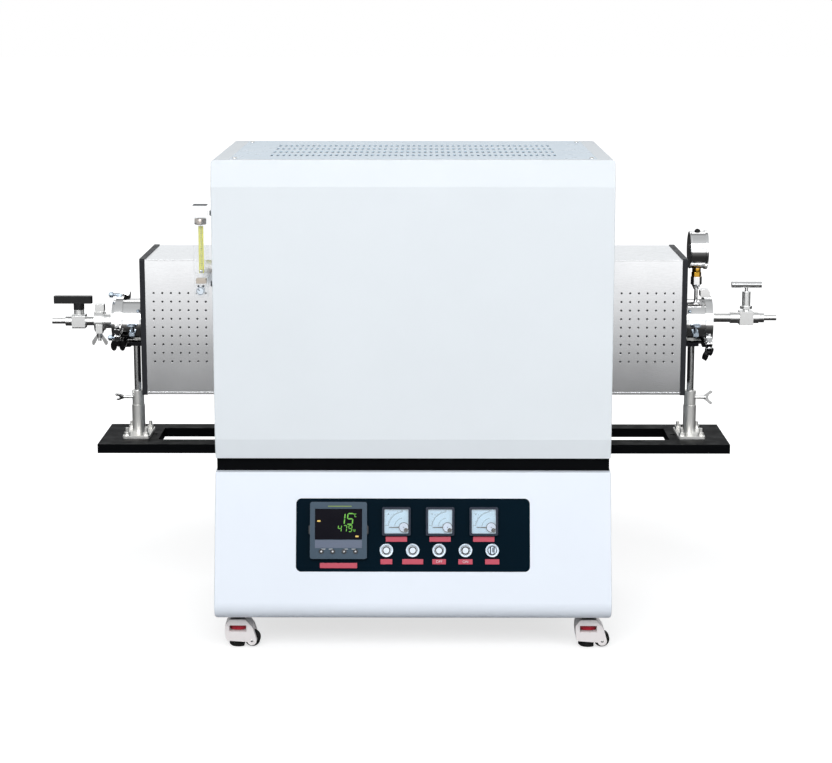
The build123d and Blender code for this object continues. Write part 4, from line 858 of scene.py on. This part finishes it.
bm = bmesh.new()
add_lathe(bm, [(2.2, 0.02), (2.2, 0.45), (28.2, 0.45), (28.2, 0.02)], GAUGE_FLOOR, 64)
piece("gauge_dial", to_mesh("gauge_dial", bm), DIAL_WHITE)
bm = bmesh.new()
dial_arc(bm, (0, 0), 24.0, 0.45, -45, 225, GAUGE_FLOOR, 0.45, 0.52, 60)
dial_ticks(bm, (0, 0), 21.0, -45, 225, 31, 3.0, 0.4, GAUGE_FLOOR, 0.45, 0.52)
piece("gauge_scale", to_mesh("gauge_scale", bm), INK, smooth=False)
for index in range(7):
    angle = math.radians(225 - 45 * index)
    spot = at(17.2 * math.cos(angle), 17.2 * math.sin(angle), 0.5)
    words(f"gauge_number_{index}", str(index * 2), 4.4, INK, GAUGE_FLOOR @ spot)
bm = bmesh.new()
add_lathe(bm, [(0, 0.0), (28.4, 0.0), (28.4, 1.2), (0, 1.2)], GAUGE_FLOOR @ at(0, 0, 8.6), 64)
piece("gauge_glass", to_mesh("gauge_glass", bm), GLASS)
bm = bmesh.new()
add_lathe(bm, [(34.0, 0.0), (34.3, 0.6), (34.3, 3.6), (33.2, 5.1), (30.4, 5.5), (28.6, 5.3),
               (28.6, 3.0)], GAUGE_FLOOR @ at(0, 0, 7.0), 72)
add_lathe(bm, [(32.6, 0.0), (33.1, 0.8), (33.1, 2.2), (32.6, 3.0)],
          GAUGE_FLOOR @ at(0, 0, -19.4), 72)
piece("gauge_bezel", to_mesh("gauge_bezel", bm), POLISHED)
bm = bmesh.new()
add_lathe(bm, [(0, 37.3), (2.0, 37.2), (2.6, 36.4), (4.4, 35.6), (5.2, 34.0), (5.2, 31.0)],
          at(GAUGE_X, AXIS_Y, GAUGE_Z), 28)
piece("gauge_plug", to_mesh("gauge_plug", bm), RUBBER)
bm = bmesh.new()
add_prism(bm, hexagon(8.75), 606.1, 614.0, at(GAUGE_X, AXIS_Y, 0), 0.4)
add_lathe(bm, [(7.6, 613.0), (7.7, 613.4), (7.7, 620.2), (7.56, 621.4)], at(GAUGE_X, AXIS_Y, 0), 40)
piece("gauge_brass_socket", to_mesh("gauge_brass_socket", bm), BRASS)


# ---- Rotameter -------------------------------------------------------------------------------
float_low, float_high = (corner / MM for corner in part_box("rotameter_float"))
METER_X = (float_low.x + float_high.x) / 2
METER_Y = (float_low.y + float_high.y) / 2
SCALE_YELLOW = painted("scale_yellow", linear(255, 250, 60), 0.5, None, 1500.0, 0.00001, 0.03,
                       specular=0.1)
# Painted shade: the rotameter ring's beige steel is darkened all over to stand for its shaded
# sides.
BEIGE_STEEL_PAINTED_SHADE = metal("beige_steel_with_painted_shade", linear(168, 158, 150), 0.24, (14.0, 14.0, 1.0), 300.0, 0.00001)
BEIGE = painted("fitting_beige", linear(206, 190, 172), 0.4, linear(228, 216, 204))

bm = bmesh.new()
add_prism(bm, rounded_outline(8.4, 0.5, 0.2, 2), 634, 714, at(METER_X, METER_Y + 4.2, 0))
piece("rotameter_scale", to_mesh("rotameter_scale", bm), SCALE_YELLOW)
bm = bmesh.new()
marks = bmesh.new()
for index in range(25):
    z = 637.4 + index * 3.2
    wide, target = (1.6, bm) if index % 4 == 0 else (0.9, marks)
    add_prism(target, [(-wide, -0.45), (wide, -0.45), (wide, 0.45), (-wide, 0.45)], 0, 0.12,
              at(METER_X + 0.5, METER_Y + 3.95, z) @ facing((0, -1, 0)))
piece("rotameter_scale_marks", to_mesh("rotameter_scale_marks", bm), INK,
      smooth=False)
piece("rotameter_fine_marks", to_mesh("rotameter_fine_marks", marks), HEADER_GREEN,
      smooth=False)
bm = bmesh.new()
add_lathe(bm, [(5.4, 717.5), (9.4, 717.5), (9.9, 718.2), (9.9, 726.8), (9.4, 727.6), (5.4, 727.6),
               (5.4, 717.5)], at(METER_X, METER_Y, 0), 40)
piece("rotameter_steel_ring", to_mesh("rotameter_steel_ring", bm), BEIGE_STEEL_PAINTED_SHADE)
bm = bmesh.new()
add_prism(bm, rounded_outline(17.5, 14, 2, 3), 617.4, 625.9, at(METER_X, METER_Y, 0), 0.6)
piece("rotameter_low_fitting", to_mesh("rotameter_low_fitting", bm), BEIGE)
bm = bmesh.new()
add_prism(bm, rounded_outline(23.4, 21.4, 1.5, 3), 749.8, 750.9, at(METER_X, METER_Y, 0), 0.2)
piece("rotameter_top_plate", to_mesh("rotameter_top_plate", bm), CORE)
bm = bmesh.new()
for side in (-1, 1):
    dome_screw(bm, at(METER_X + side * 4.2, METER_Y - 11, 613.6) @ facing((0, -1, 0)), 1.9, 1.0)
for z in (616.5, 736.5):
    collar = at(METER_X + 12, METER_Y, z) @ facing((1, 0, 0))
    add_prism(bm, hexagon(5.0), 4.0, 9.0, collar, 0.4)
piece("rotameter_fixings", to_mesh("rotameter_fixings", bm), CORE)

knob_low, knob_high = (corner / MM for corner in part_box("rotameter_knob"))
knob_at = at(METER_X, knob_low.y, (knob_low.z + knob_high.z) / 2) @ facing((0, -1, 0))
bm = bmesh.new()
add_lathe(bm, [(5.5, -0.4), (5.6, 0.15), (6.3, 0.15), (6.4, -0.4)], knob_at, 40)
add_prism(bm, rounded_outline(1.2, 3.6, 0.5, 3), -0.2, 0.25,
          knob_at @ Matrix.Rotation(math.radians(50), 4, "Z") @ at(0, 3.2, 0))
piece("rotameter_knob_marks", to_mesh("rotameter_knob_marks", bm), INK, body="rotameter_knob",
      smooth=False)


# ---- Levelling casters -----------------------------------------------------------------------
RIM_STEPS = 120
RIBBED_RIM = []
for step in range(RIM_STEPS):
    radius = 14.42 if step % 4 < 2 else 14.08
    angle = 2 * math.pi * step / RIM_STEPS
    RIBBED_RIM.append((radius * math.cos(angle), radius * math.sin(angle)))

for corner in ("front_left", "front_right", "rear_left", "rear_right"):
    foot_low, foot_high = (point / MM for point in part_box(f"{corner}_caster_foot"))
    wheel_low, wheel_high = (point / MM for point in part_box(f"{corner}_caster_wheel"))
    foot_x = foot_low.x + 16.0
    foot_y = (foot_low.y + foot_high.y) / 2
    axle = (wheel_low + wheel_high) / 2
    yoke = f"{corner}_caster_yoke"
    bm = bmesh.new()
    add_prism(bm, RIBBED_RIM, 31.1, 38.9, at(foot_x, foot_y, 0), 0.3)
    piece(f"{corner}_thumbwheel_skin", to_mesh("thumbwheel", bm), THUMBWHEEL_RED, body=yoke,
          smooth=False)
    bm = bmesh.new()
    for side in (-1, 1):
        dome_screw(bm, at(axle.x, foot_y + side * 20.0, axle.z) @ facing((0, side, 0)), 2.4, 0.9)
    piece(f"{corner}_axle_pins", to_mesh("axle_pins", bm), TURNED, body=yoke)


# ---- Post rods -------------------------------------------------------------------------------
CRADLE_FOOT = 483.3                      # where the rod ends and the cradle starts


def rod_material():
    """Bright rods that carry a dark cradle."""
    n = Nodes("post_rod_steel")
    split = n.add("ShaderNodeSeparateXYZ", Vector=n.coordinates)
    saddle = n.remap(split.outputs["Z"], 0.0, 1.0, (CRADLE_FOOT - 0.1) * MM,
                     (CRADLE_FOOT + 0.1) * MM)
    streaks = n.noise(300.0, 3.0, (14.0, 14.0, 1.0))
    bright = n.mix(n.remap(streaks, 0.0, 1.0), linear(226, 226, 226), linear(196, 196, 196))
    dark = n.mix(n.remap(streaks, 0.0, 1.0), linear(46, 46, 50), linear(30, 30, 34))
    normal, _ = n.rounded_normal(0.0006)
    n.surface(Base_Color=n.mix(saddle, bright, dark), Metallic=1.0,
              Roughness=n.remap(streaks, 0.14, 0.24),
              Normal=n.bump(streaks, 0.3, 0.00001, normal))
    return n.material


rod_steel = rod_material()
for node in ("left_post_rod", "right_post_rod"):
    dress(node, rod_steel)
